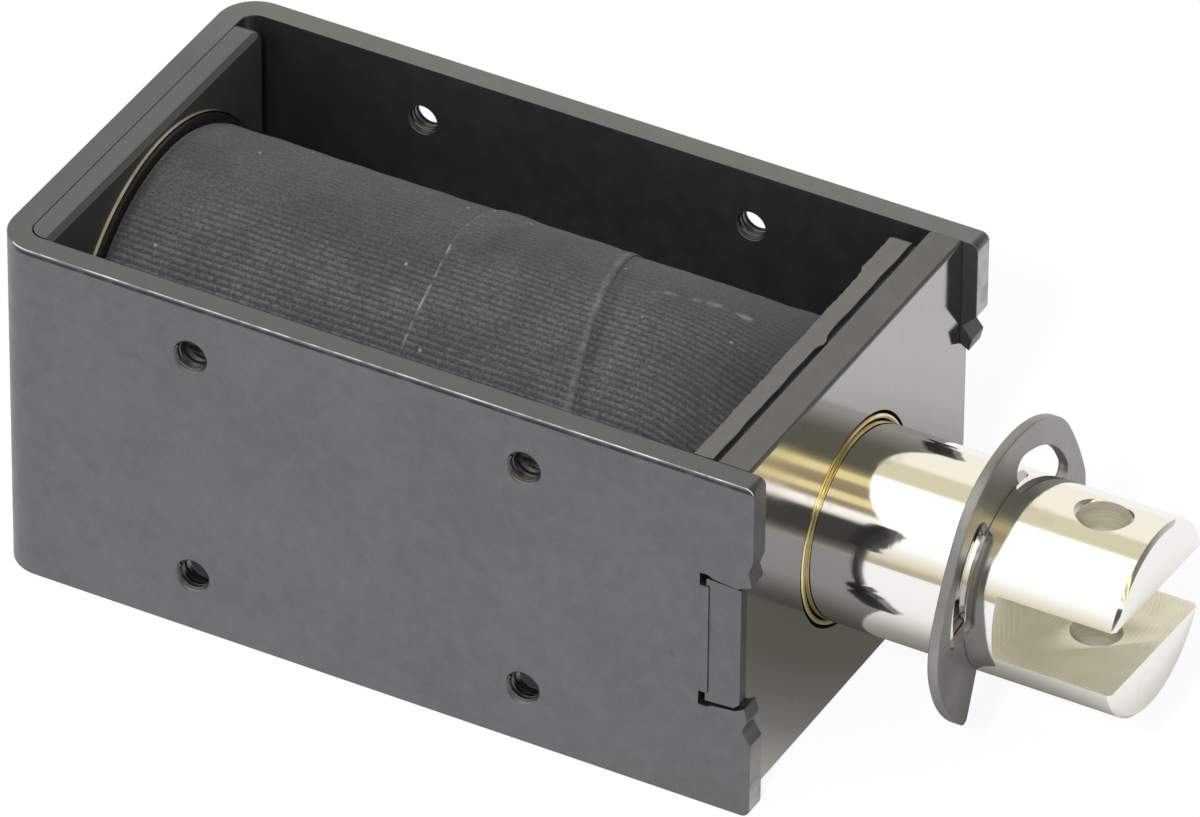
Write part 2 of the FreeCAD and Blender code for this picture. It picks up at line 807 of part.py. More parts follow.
NODES = (
    "frame_yoke",
    "end_plate",
    "front_inner_plate",
    "rear_inner_plate",
    "stop_core",
    "bobbin_tube",
    "rear_flange",
    "front_flange",
    "rear_insulating_washer",
    "front_insulating_washer",
    "insulating_sleeve",
    "coil_winding",
    "rear_tape_wrap",
    "middle_tape_wrap",
    "front_tape_wrap",
    "plunger",
    "e_ring",
)


def check_model():
    """Stop if any object failed or any sub-part has no sound shape."""
    for item in DOCUMENT.Objects:
        if {"Invalid", "Error"} & set(item.State):
            raise RuntimeError(f"{item.Name} failed: {item.State}")
    for name in NODES:
        shape = DOCUMENT.getObject(name).Shape
        if shape.isNull() or not shape.isValid():
            raise RuntimeError(f"{name} has no sound shape")


def write_parts():
    os.makedirs("parts", exist_ok=True)
    for name in NODES:
        item = DOCUMENT.getObject(name)
        item.Shape.exportStep(f"parts/{item.Label}.step")


frame_yoke()
end_plate()
front_inner_plate()
rear_inner_plate()
stop_core()
bobbin()
coil()
plunger()
e_ring()
DOCUMENT.recompute()
check_model()
write_parts()
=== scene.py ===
"""Looks of an open-frame push pull solenoid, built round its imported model.

The bent steel frame, the staked end plate, the taped coil, the brass tube and the plated plunger
with its retaining ring each get their finish here. Lengths are metres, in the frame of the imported
model: +X along the plunger, out of the frame, +Y to the far wall and +Z up.
"""

from __future__ import annotations

import logging
import math
from collections.abc import Callable, Iterable, Sequence
from dataclasses import dataclass
from enum import Enum

import bmesh
import bpy
import numpy as np
from mathutils import Matrix, Vector


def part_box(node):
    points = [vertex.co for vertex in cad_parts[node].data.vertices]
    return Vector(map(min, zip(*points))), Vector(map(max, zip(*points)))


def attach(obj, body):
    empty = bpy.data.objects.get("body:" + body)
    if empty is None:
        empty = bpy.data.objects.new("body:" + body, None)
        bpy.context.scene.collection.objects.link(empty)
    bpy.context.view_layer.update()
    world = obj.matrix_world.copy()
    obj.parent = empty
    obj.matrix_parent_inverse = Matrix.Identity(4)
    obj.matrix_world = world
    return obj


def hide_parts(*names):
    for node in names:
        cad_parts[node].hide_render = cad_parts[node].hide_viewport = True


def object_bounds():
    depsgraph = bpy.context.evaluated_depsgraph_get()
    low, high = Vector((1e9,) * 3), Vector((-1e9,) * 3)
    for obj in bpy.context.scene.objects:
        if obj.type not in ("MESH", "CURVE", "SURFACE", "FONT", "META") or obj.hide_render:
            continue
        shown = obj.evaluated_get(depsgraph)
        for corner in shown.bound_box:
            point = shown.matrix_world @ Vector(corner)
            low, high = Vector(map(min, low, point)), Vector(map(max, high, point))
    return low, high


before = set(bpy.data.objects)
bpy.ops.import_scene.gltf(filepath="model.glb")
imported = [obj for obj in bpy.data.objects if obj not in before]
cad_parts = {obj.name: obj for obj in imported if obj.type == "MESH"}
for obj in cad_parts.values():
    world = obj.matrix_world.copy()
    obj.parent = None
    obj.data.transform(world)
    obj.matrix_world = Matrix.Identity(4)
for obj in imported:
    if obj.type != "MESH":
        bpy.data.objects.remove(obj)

LOG = logging.getLogger("solenoid")
MM = 0.001
MICRON = 0.000001
CAD_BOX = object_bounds()
TOP = CAD_BOX[1].z
AXIS_Z = sum(corner.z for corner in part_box("plunger")) / 2

Object = bpy.types.Object
Material = bpy.types.Material
Profile = Sequence[tuple[float, float]]
Colour = tuple[float, float, float, float]


class Body(Enum):
    """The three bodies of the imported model."""

    FRAME = "frame"
    RING = "ring"
    PLUNGER = "plunger"


class Slot(Enum):
    """The record's material slots."""

    BLACKENED_STEEL = "blackened_steel"
    END_PLATE_STEEL = "end_plate_steel"
    PLATE_STEEL = "plate_steel"
    NICKEL = "nickel"
    SPRING_STEEL = "spring_steel"
    BRASS = "brass"
    CORE_IRON = "core_iron"
    FIBRE = "fibre"
    COPPER = "copper"
    CLOTH_TAPE = "cloth_tape"


# Node trees


class NodeSheet:
    """A node tree under construction, with short calls to add and join its nodes."""

    def __init__(self, tree: bpy.types.NodeTree) -> None:
        """Start on an emptied tree."""
        self.tree = tree
        self.tree.nodes.clear()

    def add(self, kind: str, settings: dict[str, object] | None = None, **inputs: object) -> bpy.types.Node:
        """Add a node, set its properties and fill or join its inputs.

        Args:
            kind: Blender's name of the node type.
            settings: Properties of the node itself.
            inputs: Values or signals by input name, with underscores for spaces.

        Returns:
            The new node.
        """
        node = self.tree.nodes.new(kind)
        for name, value in (settings or {}).items():
            setattr(node, name, value)
        self.fill(node, **inputs)
        return node

    def out(self, kind: str, output: int | str = 0, **inputs: object) -> Signal:
        """Add a node, as add does, and give one of its outputs."""
        return Signal(self, self.add(kind, **inputs).outputs[output])

    def fill(self, node: bpy.types.Node, **inputs: object) -> None:
        """Fill or join a node's inputs by name, with underscores for spaces."""
        for name, value in inputs.items():
            self.join(node.inputs[name.replace("_", " ")], value)

    def row(self, kind: str, values: Iterable[object], settings: dict[str, object] | None = None) -> Signal:
        """Add a node, fill or join its inputs in their order, and give its first output."""
        node = self.add(kind, settings)
        for socket, value in zip(node.inputs, values):
            self.join(socket, value)
        return Signal(self, node.outputs[0])

    def join(self, socket: bpy.types.NodeSocket, value: object) -> None:
        """Link a socket to a signal, or set its own value."""
        if isinstance(value, Signal):
            self.tree.links.new(value.socket, socket)
        else:
            socket.default_value = value

    def math(self, operation: str, *values: object) -> Signal:
        """A math node on up to three numbers or signals."""
        return self.row("ShaderNodeMath", values, {"operation": operation})

    def length(self, first: Signal, second: Signal) -> Signal:
        """The length of a vector from its two parts."""
        return (first.math("POWER", 2.0) + second.math("POWER", 2.0)).math("SQRT")

    def blend(self, share: object, first: Signal, second: Signal) -> Signal:
        """Mix two shaders, the share going to the second."""
        return self.row("ShaderNodeMixShader", (share, first, second))

    def split(self, vector: Signal) -> tuple[Signal, ...]:
        """The three parts of a vector."""
        return tuple(Signal(self, part) for part in self.add("ShaderNodeSeparateXYZ", Vector=vector).outputs)


@dataclass(frozen=True)
class Signal:
    """What a node puts out. Its sums, differences and products add math nodes."""

    sheet: NodeSheet
    socket: bpy.types.NodeSocket

    def __add__(self, other: object) -> Signal:
        """This signal plus a number or another signal."""
        return self.math("ADD", other)

    def __sub__(self, other: object) -> Signal:
        """This signal less a number or another signal."""
        return self.math("SUBTRACT", other)

    def __rsub__(self, other: float) -> Signal:
        """A number less this signal."""
        return self.sheet.math("SUBTRACT", other, self)

    def __mul__(self, other: object) -> Signal:
        """This signal times a number or another signal."""
        return self.math("MULTIPLY", other)

    def math(self, operation: str, *values: object) -> Signal:
        """A math node on this signal and up to two more values."""
        return self.sheet.math(operation, self, *values)

    def ramp(self, low: float, high: float, start: float = 0.0, end: float = 1.0) -> Signal:
        """The signal mapped from one range to another and held within it.

        Args:
            low: Value that gives start.
            high: Value that gives end.
            start: Result at low.
            end: Result at high.

        Returns:
            The mapped signal.
        """
        limits = {"From_Min": low, "From_Max": high, "To_Min": start, "To_Max": end}
        return self.sheet.out("ShaderNodeMapRange", Value=self, **limits)

    def bands(self, stops: Sequence[tuple[float, float, float, float]]) -> Signal:
        """Colours that follow the signal.

        Args:
            stops: Values in rising order, each with its red, green and blue.

        Returns:
            The colour's signal.
        """
        low, high = stops[0][0], stops[-1][0]
        node = self.sheet.add("ShaderNodeValToRGB", Fac=self.ramp(low, high))
        elements = node.color_ramp.elements
        while len(elements) < len(stops):
            elements.new(0.5)
        for element, (at, *colour) in zip(elements, stops):
            element.position = (at - low) / (high - low)
            element.color = (*colour, 1.0)
        return Signal(self.sheet, node.outputs[0])

    def mix(self, first: object, second: object) -> Signal:
        """Two colours mixed, the signal being the share of the second."""
        node = self.sheet.add("ShaderNodeMix", {"data_type": "RGBA"})
        for number, value in ((0, self), (6, first), (7, second)):
            self.sheet.join(node.inputs[number], value)
        return Signal(self.sheet, node.outputs[2])


class ShaderSheet(NodeSheet):
    """One material under construction."""

    def __init__(self, name: str) -> None:
        """Start a material with an output, a surface shader and object coordinates."""
        self.material = bpy.data.materials.new(name)
        self.material.use_nodes = True
        super().__init__(self.material.node_tree)
        self.surface = self.add("ShaderNodeBsdfPrincipled")
        shader = Signal(self, self.surface.outputs[0])
        self.output = self.add("ShaderNodeOutputMaterial", Surface=shader)
        self.coordinates = self.out("ShaderNodeTexCoord", "Object")

    def coat(
        self, colour: Signal, metal: float, rough: object, relief: Signal, height: float, **more: object
    ) -> None:
        """Fill the surface shader.

        Args:
            colour: Base colour.
            metal: Share of metal.
            rough: Roughness.
            relief: Fine relief, from 0 to 1.
            height: Real height of the relief in metres.
            more: Other inputs, by name.
        """
        normal = self.out("ShaderNodeBump", Height=relief, Distance=height, Strength=1.0)
        self.fill(self.surface, Base_Color=colour, Metallic=metal, Roughness=rough, Normal=normal, **more)

    def place(self) -> tuple[Signal, ...]:
        """The three object coordinates."""
        return self.split(self.coordinates)

    def noise(
        self,
        scale: float,
        detail: float = 3.0,
        rough: float = 0.5,
        stretch: tuple[float, float, float] | None = None,
        place: Signal | None = None,
    ) -> Signal:
        """Noise around one half.

        Args:
            scale: Cells per metre.
            detail: Octaves.
            rough: Strength of the finer octaves.
            stretch: Factors on the object's X, Y and Z.
            place: Coordinates to use in place of the object's own.

        Returns:
            The noise.
        """
        place = place or self.coordinates
        if stretch:
            place = self.out("ShaderNodeMapping", Vector=place, Scale=stretch)
        return self.out("ShaderNodeTexNoise", Vector=place, Scale=scale, Detail=detail, Roughness=rough)


class GeometrySheet(NodeSheet):
    """A geometry node tree under construction, with named inputs and a material."""

    def __init__(self, name: str, numbers: Sequence[str], counts: Sequence[str] = ()) -> None:
        """Start a tree with its inputs.

        Args:
            name: Name of the tree.
            numbers: Names of the inputs that are numbers.
            counts: Names of the inputs that are whole numbers.
        """
        super().__init__(bpy.data.node_groups.new(name, "GeometryNodeTree"))
        sockets = self.tree.interface
        for side in ("INPUT", "OUTPUT"):
            sockets.new_socket("Geometry", in_out=side, socket_type="NodeSocketGeometry")
        kinds = {number: "Float" for number in numbers} | {count: "Int" for count in counts}
        self.names: dict[str, str] = {}
        for wanted, kind in (*kinds.items(), ("Material", "Material")):
            socket = sockets.new_socket(wanted, in_out="INPUT", socket_type="NodeSocket" + kind)
            self.names[wanted] = socket.identifier
        self.start = self.add("NodeGroupInput")

    def given(self, name: str) -> Signal:
        """A named input."""
        return Signal(self, self.start.outputs[name])

    def sweep(self, curve: Signal, radius: str) -> Signal:
        """A six-sided rod along a curve, its radius a named input."""
        section = self.out("GeometryNodeCurvePrimitiveCircle", Resolution=6, Radius=self.given(radius))
        return self.out("GeometryNodeCurveToMesh", Curve=curve, Profile_Curve=section, Fill_Caps=True)

    def finish(self, geometry: Signal) -> None:
        """Realize the instances, set the material and close the tree."""
        real = self.out("GeometryNodeRealizeInstances", Geometry=geometry)
        painted = self.out("GeometryNodeSetMaterial", Geometry=real, Material=self.given("Material"))
        self.join(self.add("NodeGroupOutput").inputs[0], painted)

    def run(self, item: Object, **values: object) -> None:
        """Use the tree on an object, with its inputs by name, and keep the plain mesh that it makes."""
        modifier = item.modifiers.new(self.tree.name, "NODES")
        modifier.node_group = self.tree
        for name, value in values.items():
            modifier[self.names[name]] = value
        apply_modifiers(item)


def ribbed_cloth_sheet() -> GeometrySheet:
    """Ribs of yarn laid along the plunger's direction all round a taped coil."""
    cloth = GeometrySheet("ribbed_cloth", ("Start", "End", "Radius", "Yarn", "Height"), ("Ribs", "Steps"))
    radius = cloth.given("Radius")
    ends = [cloth.out("ShaderNodeCombineXYZ", X=cloth.given(end), Z=radius) for end in ("Start", "End")]
    line = cloth.out("GeometryNodeCurvePrimitiveLine", Start=ends[0], End=ends[1])
    spine = cloth.out("GeometryNodeResampleCurve", Curve=line, Count=cloth.given("Steps"))
    yarn = cloth.sweep(spine, "Yarn")
    places = cloth.out("GeometryNodeMeshLine", Count=cloth.given("Ribs"), Offset=(0.0, 0.0, 0.0))
    share = cloth.out("GeometryNodeInputIndex").math("DIVIDE", cloth.given("Ribs"))
    turn = cloth.out("ShaderNodeCombineXYZ", X=share * math.tau)
    laid = cloth.out("GeometryNodeInstanceOnPoints", Points=places, Instance=yarn, Rotation=turn)
    lift = cloth.out("ShaderNodeCombineXYZ", Z=cloth.given("Height"))
    raised = cloth.out("GeometryNodeTransform", Geometry=laid, Translation=lift)
    both = cloth.add("GeometryNodeJoinGeometry")
    for part in (cloth.given("Geometry"), raised):
        cloth.join(both.inputs[0], part)
    cloth.finish(Signal(cloth, both.outputs[0]))
    return cloth


def thread_sheet() -> GeometrySheet:
    """Ridges of a thread inside every tapped hole, one helix on each point given."""
    thread = GeometrySheet("tapped_thread", ("Radius", "Length", "Turns", "Ridge"))
    radius = thread.given("Radius")
    helix = thread.out(
        "GeometryNodeCurveSpiral",
        Resolution=22,
        Rotations=thread.given("Turns"),
        Start_Radius=radius,
        End_Radius=radius,
        Height=thread.given("Length"),
    )
    ridge = thread.sweep(helix, "Ridge")
    upright = (math.radians(90.0), 0.0, 0.0)
    points = thread.given("Geometry")
    thread.finish(thread.out("GeometryNodeInstanceOnPoints", Points=points, Instance=ridge, Rotation=upright))
    return thread


# Finishes


def grey(level: float, warmth: float = 0.0) -> Colour:
    """A grey as a linear colour, with red raised and blue lowered by the share of its warmth."""
    return (level * (1 + warmth), level, level * (1 - warmth), 1.0)


@dataclass(frozen=True)
class Finish:
    """A surface finish with a name."""

    name: str

    def material(self) -> Material:
        """Build the material."""
        sheet = ShaderSheet(self.name)
        self.paint(sheet)
        return sheet.material

    def paint(self, sheet: ShaderSheet) -> None:
        """Fill the surface shader."""
        raise NotImplementedError


@dataclass(frozen=True)
class Mottled(Finish):
    """A finish that wanders between two tones, with a fine relief.

    Noise is given as ShaderSheet.noise takes it, and limits as Signal.ramp does.

    Attributes:
        tones: The two tones.
        cloud: Noise that leads from the first tone to the second.
        limits: Values of that noise at the two tones, and the share of the second there.
        shine: Values of that noise and the roughness that they give.
        metal: Share of metal.
        relief: Noise of the relief, or None for the cloud's own.
        height: Height of the relief.
    """

    tones: tuple[Colour, Colour]
    cloud: tuple[object, ...]
    limits: tuple[float, ...] = (0.3, 0.7)
    shine: tuple[float, float, float, float] = (0.3, 0.7, 0.3, 0.3)
    metal: float = 1.0
    relief: tuple[object, ...] | None = None
    height: float = 3 * MICRON

    def paint(self, sheet: ShaderSheet) -> None:
        """Fill the surface shader."""
        cloud = sheet.noise(*self.cloud)
        colour = cloud.ramp(*self.limits).mix(*self.tones)
        sheet.coat(colour, self.metal, cloud.ramp(*self.shine), self.surface(sheet, cloud), self.height)

    def surface(self, sheet: ShaderSheet, cloud: Signal) -> Signal:
        """The relief."""
        return sheet.noise(*self.relief) if self.relief else cloud


@dataclass(frozen=True)
class Brushed(Mottled):
    """A finish with upright brush marks, and its roughness in clouds of their own."""

    def paint(self, sheet: ShaderSheet) -> None:
        """Fill the surface shader."""
        super().paint(sheet)
        node = sheet.add("ShaderNodeTangent", {"direction_type": "RADIAL", "axis": "Y"})
        clouds = sheet.noise(110.0, 3.0).ramp(*self.shine)
        tangent = Signal(sheet, node.outputs[0])
        sheet.fill(sheet.surface, Roughness=clouds, Anisotropic=0.5, Tangent=tangent)


@dataclass(frozen=True)
class Ringed(Mottled):
    """A finish whose relief is rings, out from the plunger's axis or one after another along it."""

    pitch: float = 0.16 * MM
    lengthwise: bool = False

    def surface(self, sheet: ShaderSheet, cloud: Signal) -> Signal:
        """The relief."""
        along, across, up = sheet.place()
        place = along if self.lengthwise else sheet.length(across, up - AXIS_Z)
        return (place * (math.tau / self.pitch)).math("SINE").ramp(-1.0, 1.0)


def turned_iron(name: str, level: float) -> Finish:
    """Soft iron, turned and lightly oiled."""
    tones = (grey(level, 0.01), grey(level * 0.64, 0.03))
    return Ringed(name, tones, (300.0, 4.0), (0.38, 0.66), (0.3, 0.7, 0.32, 0.32), height=4 * MICRON)


def rubbed_edge(name: str, worn: float, kept: float, share: float) -> Finish:
    """The frame's plating on an edge, rubbed bright in places.

    Args:
        name: Name of the finish.
        worn: Level where it is rubbed.
        kept: Level elsewhere.
        share: Value of the noise about which it changes.

    Returns:
        The finish.
    """
    limits = (share - 0.08, share + 0.1)
    shine = (0.3, 0.7, 0.33, 0.33)
    tones = (grey(kept), grey(worn, 0.01))
    return Mottled(name, tones, (380.0, 5.0, 0.65), limits, shine, relief=(3000.0, 3.0), height=8 * MICRON)


def drawn_brass(name: str, clean: Colour, dull: Colour, metal: float = 1.0) -> Finish:
    """Drawn brass of the tube and its flanges, a little tarnished."""
    shine = (0.42, 0.68, 0.14, 0.3)
    return Mottled(name, (clean, dull), (420.0, 4.0), shine[:2], shine, metal, (3000.0, 2.0))


BRUSHED_PLATE = Brushed(
    "brushed_plate_finish",
    (grey(0.3984, 0.015), grey(0.4233, 0.005)),
    (1.0, 4.0, 0.6, (900.0, 5200.0, 160.0)),
    shine=(0.3, 0.7, 0.09, 0.14),
    height=2.5 * MICRON,
)
NICKEL_PLATE = Mottled(
    "nickel_plate_finish",
    (grey(0.93, 0.02), grey(0.5766, 0.12)),
    (320.0, 5.0, 0.6),
    (0.6, 0.75, 0.0, 0.2),
    (0.6, 0.75, 0.07, 0.19),
    relief=(1.0, 3.0, 0.5, (6000.0, 60.0, 60.0)),
    height=1.5 * MICRON,
)
REAMED_NICKEL = Mottled(
    "reamed_nickel_finish",
    ((0.6, 0.57, 0.48, 1.0), (0.84, 0.8, 0.68, 1.0)),
    (1.0, 3.0, 0.5, (300.0, 300.0, 4200.0)),
    shine=(0.3, 0.7, 0.42, 0.42),
    metal=0.5,
    height=6 * MICRON,
)
PHOSPHATED_SPRING = Mottled(
    "phosphated_spring_finish",
    (grey(0.27), grey(0.342, 0.01)),
    (260.0, 4.0),
    (0.35, 0.65),
    (0.3, 0.7, 0.34, 0.42),
    metal=0.85,
    relief=(5000.0, 2.0),
    height=5 * MICRON,
)
VARNISHED_FIBRE = Mottled(
    "varnished_fibre_finish",
    ((0.009, 0.009, 0.009, 1.0), (0.016, 0.015, 0.014, 1.0)),
    (1.0, 5.0, 0.5, (900.0, 2600.0, 500.0)),
    shine=(0.3, 0.7, 0.55, 0.55),
    metal=0.0,
    height=20 * MICRON,
)
ENAMELLED_COPPER = Ringed(
    "enamelled_copper_finish",
    ((0.5, 0.2, 0.08, 1.0), (0.62, 0.28, 0.11, 1.0)),
    (200.0, 3.0),
    height=120 * MICRON,
    pitch=0.35 * MM,
    lengthwise=True,
)


@dataclass(frozen=True)
class MilledNickel(Finish):
    """The floor and root of the clevis slot: plated over the arcs that the cutter left."""

    name: str = "milled_nickel_finish"
    level: float = 0.92
    pitch: float = 0.34 * MM
    centre_from_tip: float = 21.0 * MM

    def paint(self, sheet: ShaderSheet) -> None:
        """Fill the surface shader."""
        along, across, _ = sheet.place()
        away = sheet.length(along - (CAD_BOX[1].x - self.centre_from_tip), across)
        wobbled = away + sheet.noise(500.0, 2.0) * (0.25 * MM)
        marks = (wobbled * (math.tau / self.pitch)).math("SINE").ramp(-1.0, 1.0)
        broken = marks * sheet.noise(600.0, 4.0).ramp(0.35, 0.65)
        sheet.coat(broken.mix(self.tinted(1.0), self.tinted(0.88)), 0.8, 0.36, broken, 3.5 * MICRON)

    def tinted(self, share: float) -> Colour:
        """The plating's tone, a little yellowed, at a share of its level."""
        return (self.level * share, self.level * share * 0.97, self.level * share * 0.85, 1.0)


@dataclass(frozen=True)
class BlackenedSteel(Finish):
    """Dark plating on the bent strip: satin, with fine grain and faint clouds.

    Attributes:
        level: Brightness.
        metal: Share of metal.
        roughness: Roughness between its clouds.
        lip: Depth of the painted shadow line under the near wall's burr, or 0.
        far_top_paler: Share by which the upper edge of the far wall is paler, or 0.
    """

    name: str = "blackened_steel_finish"
    level: float = 0.172
    metal: float = 0.92
    roughness: float = 0.4
    lip: float = 0.0
    far_top_paler: float = 0.0

    def paint(self, sheet: ShaderSheet) -> None:
        """Fill the surface shader."""
        tone = sheet.noise(120.0, 4.0) * 0.35 + sheet.noise(4200.0, 2.0) * 0.3
        tone += sheet.noise(900.0, 3.0) * 0.35
        dark, pale = (grey(self.level * share, -0.035) for share in (0.915, 1.085))
        colour = tone.ramp(0.36, 0.64).mix(dark, pale)
        if self.far_top_paler:
            colour = self.upper_edge(sheet, tone, colour)
        # A painted shadow line below the near wall's burr.
        if self.lip:
            colour = self.shadow_line(sheet).mix(colour, grey(self.level * 0.25))
        rough = sheet.noise(700.0, 3.0).ramp(0.3, 0.7, self.roughness - 0.04, self.roughness + 0.05)
        sheet.coat(colour, self.metal, rough, sheet.noise(4200.0, 3.0), 6 * MICRON)

    def upper_edge(self, sheet: ShaderSheet, tone: Signal, colour: Signal) -> Signal:
        """The colour with the sheared upper edge over it, paler towards the far wall."""
        _, across, up = sheet.place()
        far = across.ramp(8.0 * MM, 18.0 * MM)
        paler = far.mix(grey(self.level * 0.95, -0.07), grey(self.level * (1 + self.far_top_paler), -0.06))
        top = up.ramp(TOP - 0.2 * MM, TOP - 0.05 * MM) * tone.ramp(0.36, 0.64, 0.75, 1.0)
        return top.mix(colour, paler)

    def shadow_line(self, sheet: ShaderSheet) -> Signal:
        """A painted shadow line outside along the near wall, just below its bright burr."""
        _, across, up = sheet.place()
        below = TOP - (up + (sheet.noise(400.0, 2.0) - 0.5) * (0.12 * MM))
        line = below.ramp(0.17 * MM, 0.23 * MM) * below.ramp(self.lip, self.lip + 0.1 * MM, 1.0, 0.0)
        outside = across.ramp(-18.3 * MM, -18.2 * MM, 1.0, 0.0)
        return line * outside * sheet.noise(700.0, 3.0).ramp(0.3, 0.5, 0.55, 0.95)


@dataclass(frozen=True)
class ClothTape(Finish):
    """Black woven tape: ribs along the coil with painted shade in their hollows, broken by the weft, worn smooth in
    places.

    The mesh carries where each point lay before the wraps were settled ("laid", from the axis), how
    far it is from the two lapped edges and the glued seam ("marks", in millimetres), how clearly its
    ribs stand out ("ribbing") and its painted light and shade ("painted_shading"): painted shade at
    the ends, in the creases and past the front lap, painted highlights on the ridges and low on the
    near side.
    """

    name: str = "cloth_tape_finish"
    ribs: int = 164
    hollow: float = 0.072
    crown: float = 0.185
    plain: float = 0.1
    lint_and_highlight: float = 0.42
    stitches: float = 2700.0

    def paint(self, sheet: ShaderSheet) -> None:
        """Fill the surface shader."""
        along, across, up = sheet.split(self.carried(sheet, "laid"))
        rib = sheet.math("ARCTAN2", across, up) * (self.ribs / math.tau)
        # Painted shade in the hollows between the ribs and a lighter tone on their crests, broken by the weft's
        # dashes.
        crest = (rib * math.tau).math("COSINE").ramp(-0.9, 0.5)
        stitch = sheet.out("ShaderNodeCombineXYZ", X=along * self.stitches, Y=rib.math("ROUND") * 7.3)
        dashes = sheet.noise(1.0, 1.0, place=stitch).ramp(0.36, 0.62)
        weave_and_shade = crest * (dashes * 0.65 + 0.35)
        ribbed = weave_and_shade.mix(grey(self.hollow, -0.02), grey(self.crown, -0.01))
        fuzz = sheet.noise(3600.0, 2.0).ramp(0.3, 0.7)
        smooth_part = fuzz.mix(grey(self.plain * 0.86), grey(self.plain * 1.14))
        patches = sheet.noise(170.0, 3.0).ramp(0.3, 0.7, 0.72, 1.0)
        cloth = (self.carried(sheet, "ribbing", "Fac") * patches).mix(smooth_part, ribbed)
        grain = sheet.noise(5600.0, 2.0)
        for share, level in (
            (grain.ramp(0.5, 0.28, 0.0, 0.5), 0.03),
            (grain.ramp(0.52, 0.74, 0.0, 0.45), 0.24),
            (sheet.noise(190.0, 3.0).ramp(0.58, 0.36, 0.0, 0.3), 0.035),
        ):
            cloth = share.mix(cloth, grey(level))
        # Painted light and shade over the tape: darker at the ends, in the creases and past the front lap.
        shaded_cloth = self.carried(sheet, "painted_shading", "Fac").mix(grey(0.02), cloth)
        colour = self.lines(sheet).mix(shaded_cloth, grey(self.lint_and_highlight, 0.01))
        soft = {"Specular_IOR_Level": 0.3, "Sheen_Weight": 0.15, "Sheen_Roughness": 0.5}
        sheet.coat(colour, 0.0, 0.85, sheet.noise(4200.0, 2.0), 20 * MICRON, **soft)

    def carried(self, sheet: ShaderSheet, name: str, output: str = "Vector") -> Signal:
        """An attribute that the mesh carries."""
        return Signal(sheet, sheet.add("ShaderNodeAttribute", {"attribute_name": name}).outputs[output])

    def lines(self, sheet: ShaderSheet) -> Signal:
        """Share of lint on the rear lapped edge, on the glued seam and in single specks, and of a painted highlight
        on the ridge beside the front lap.
        """
        marks = sheet.split(self.carried(sheet, "marks"))
        broken = sheet.noise(900.0, 3.0)
        bands = ((0.1, 0.16), (-0.4, 0.32), (0.0, 0.42))
        breaks = ((0.42, 0.62, 0.04, 0.6), (0.3, 0.7, 0.02, 0.26), (0.46, 0.66, 0.0, 0.4))
        # fold is a painted highlight on the ridge beside the front lap; edge, stuck and speck are lint.
        edge, fold, stuck = (
            (distance - middle).math("ABSOLUTE").ramp(half * 0.35, half, 1.0, 0.0) * broken.ramp(*limits)
            for distance, (middle, half), limits in zip(marks, bands, breaks)
        )
        cells = sheet.add("ShaderNodeTexVoronoi", Vector=sheet.coordinates, Scale=420.0)
        away, colour = (Signal(sheet, cells.outputs[output]) for output in ("Distance", "Color"))
        chosen = sheet.out("ShaderNodeSeparateColor", Color=colour).ramp(0.62, 0.66)
        speck = away.ramp(0.045, 0.075, 0.7, 0.0) * chosen
        return edge.math("MAXIMUM", fold).math("MAXIMUM", stuck.math("MAXIMUM", speck))


# Mesh building


def add_object(name: str, mesh: bpy.types.Mesh) -> Object:
    """Put a mesh into the scene under a name."""
    item = bpy.data.objects.new(name, mesh)
    bpy.context.scene.collection.objects.link(item)
    return item


def mesh_from(name: str, points: Iterable[Sequence[float]], faces: Iterable[Sequence[int]]) -> Object:
    """An object from points and faces, its normals turned outwards.

    Args:
        name: Name of the object.
        points: Corner points.
        faces: Corner numbers of each face.

    Returns:
        The new object.
    """
    mesh = bpy.data.meshes.new(name)
    mesh.from_pydata([tuple(point) for point in points], [], [tuple(face) for face in faces])
    shape = bmesh.new()
    shape.from_mesh(mesh)
    bmesh.ops.remove_doubles(shape, verts=shape.verts, dist=1e-7)
    bmesh.ops.recalc_face_normals(shape, faces=shape.faces)
    shape.to_mesh(mesh)
    shape.free()
    return add_object(name, mesh)


def lathe(name: str, profile: Profile, segments: int, closed: bool = False) -> Object:
    """A solid turned about the plunger's axis.

    Args:
        name: Name of the object.
        profile: Stations along X and radii. An open profile starts and ends on the axis.
        segments: Faces round the axis.
        closed: Whether the profile is a loop, as a tube's is.

    Returns:
        The turned object.
    """
    turns = [math.tau * step / segments for step in range(segments)]
    points = [(x, r * math.sin(turn), AXIS_Z + r * math.cos(turn)) for x, r in profile for turn in turns]
    rows = len(profile)
    faces: list[tuple[int, ...]] = []
    for row in range(rows if closed else rows - 1):
        first, second = row * segments, (row + 1) % rows * segments
        for step in range(segments):
            after = (step + 1) % segments
            faces.append((first + step, first + after, second + after, second + step))
    return mesh_from(name, points, faces)


def block(name: str, low: Sequence[float], high: Sequence[float]) -> Object:
    """A box between two corners, used only to cut other pieces."""
    corners = [(x, y, z) for x in (low[0], high[0]) for y in (low[1], high[1]) for z in (low[2], high[2])]
    faces = ((0, 1, 3, 2), (4, 6, 7, 5), (0, 4, 5, 1), (2, 3, 7, 6), (0, 2, 6, 4), (1, 5, 7, 3))
    return mesh_from(name, corners, faces)


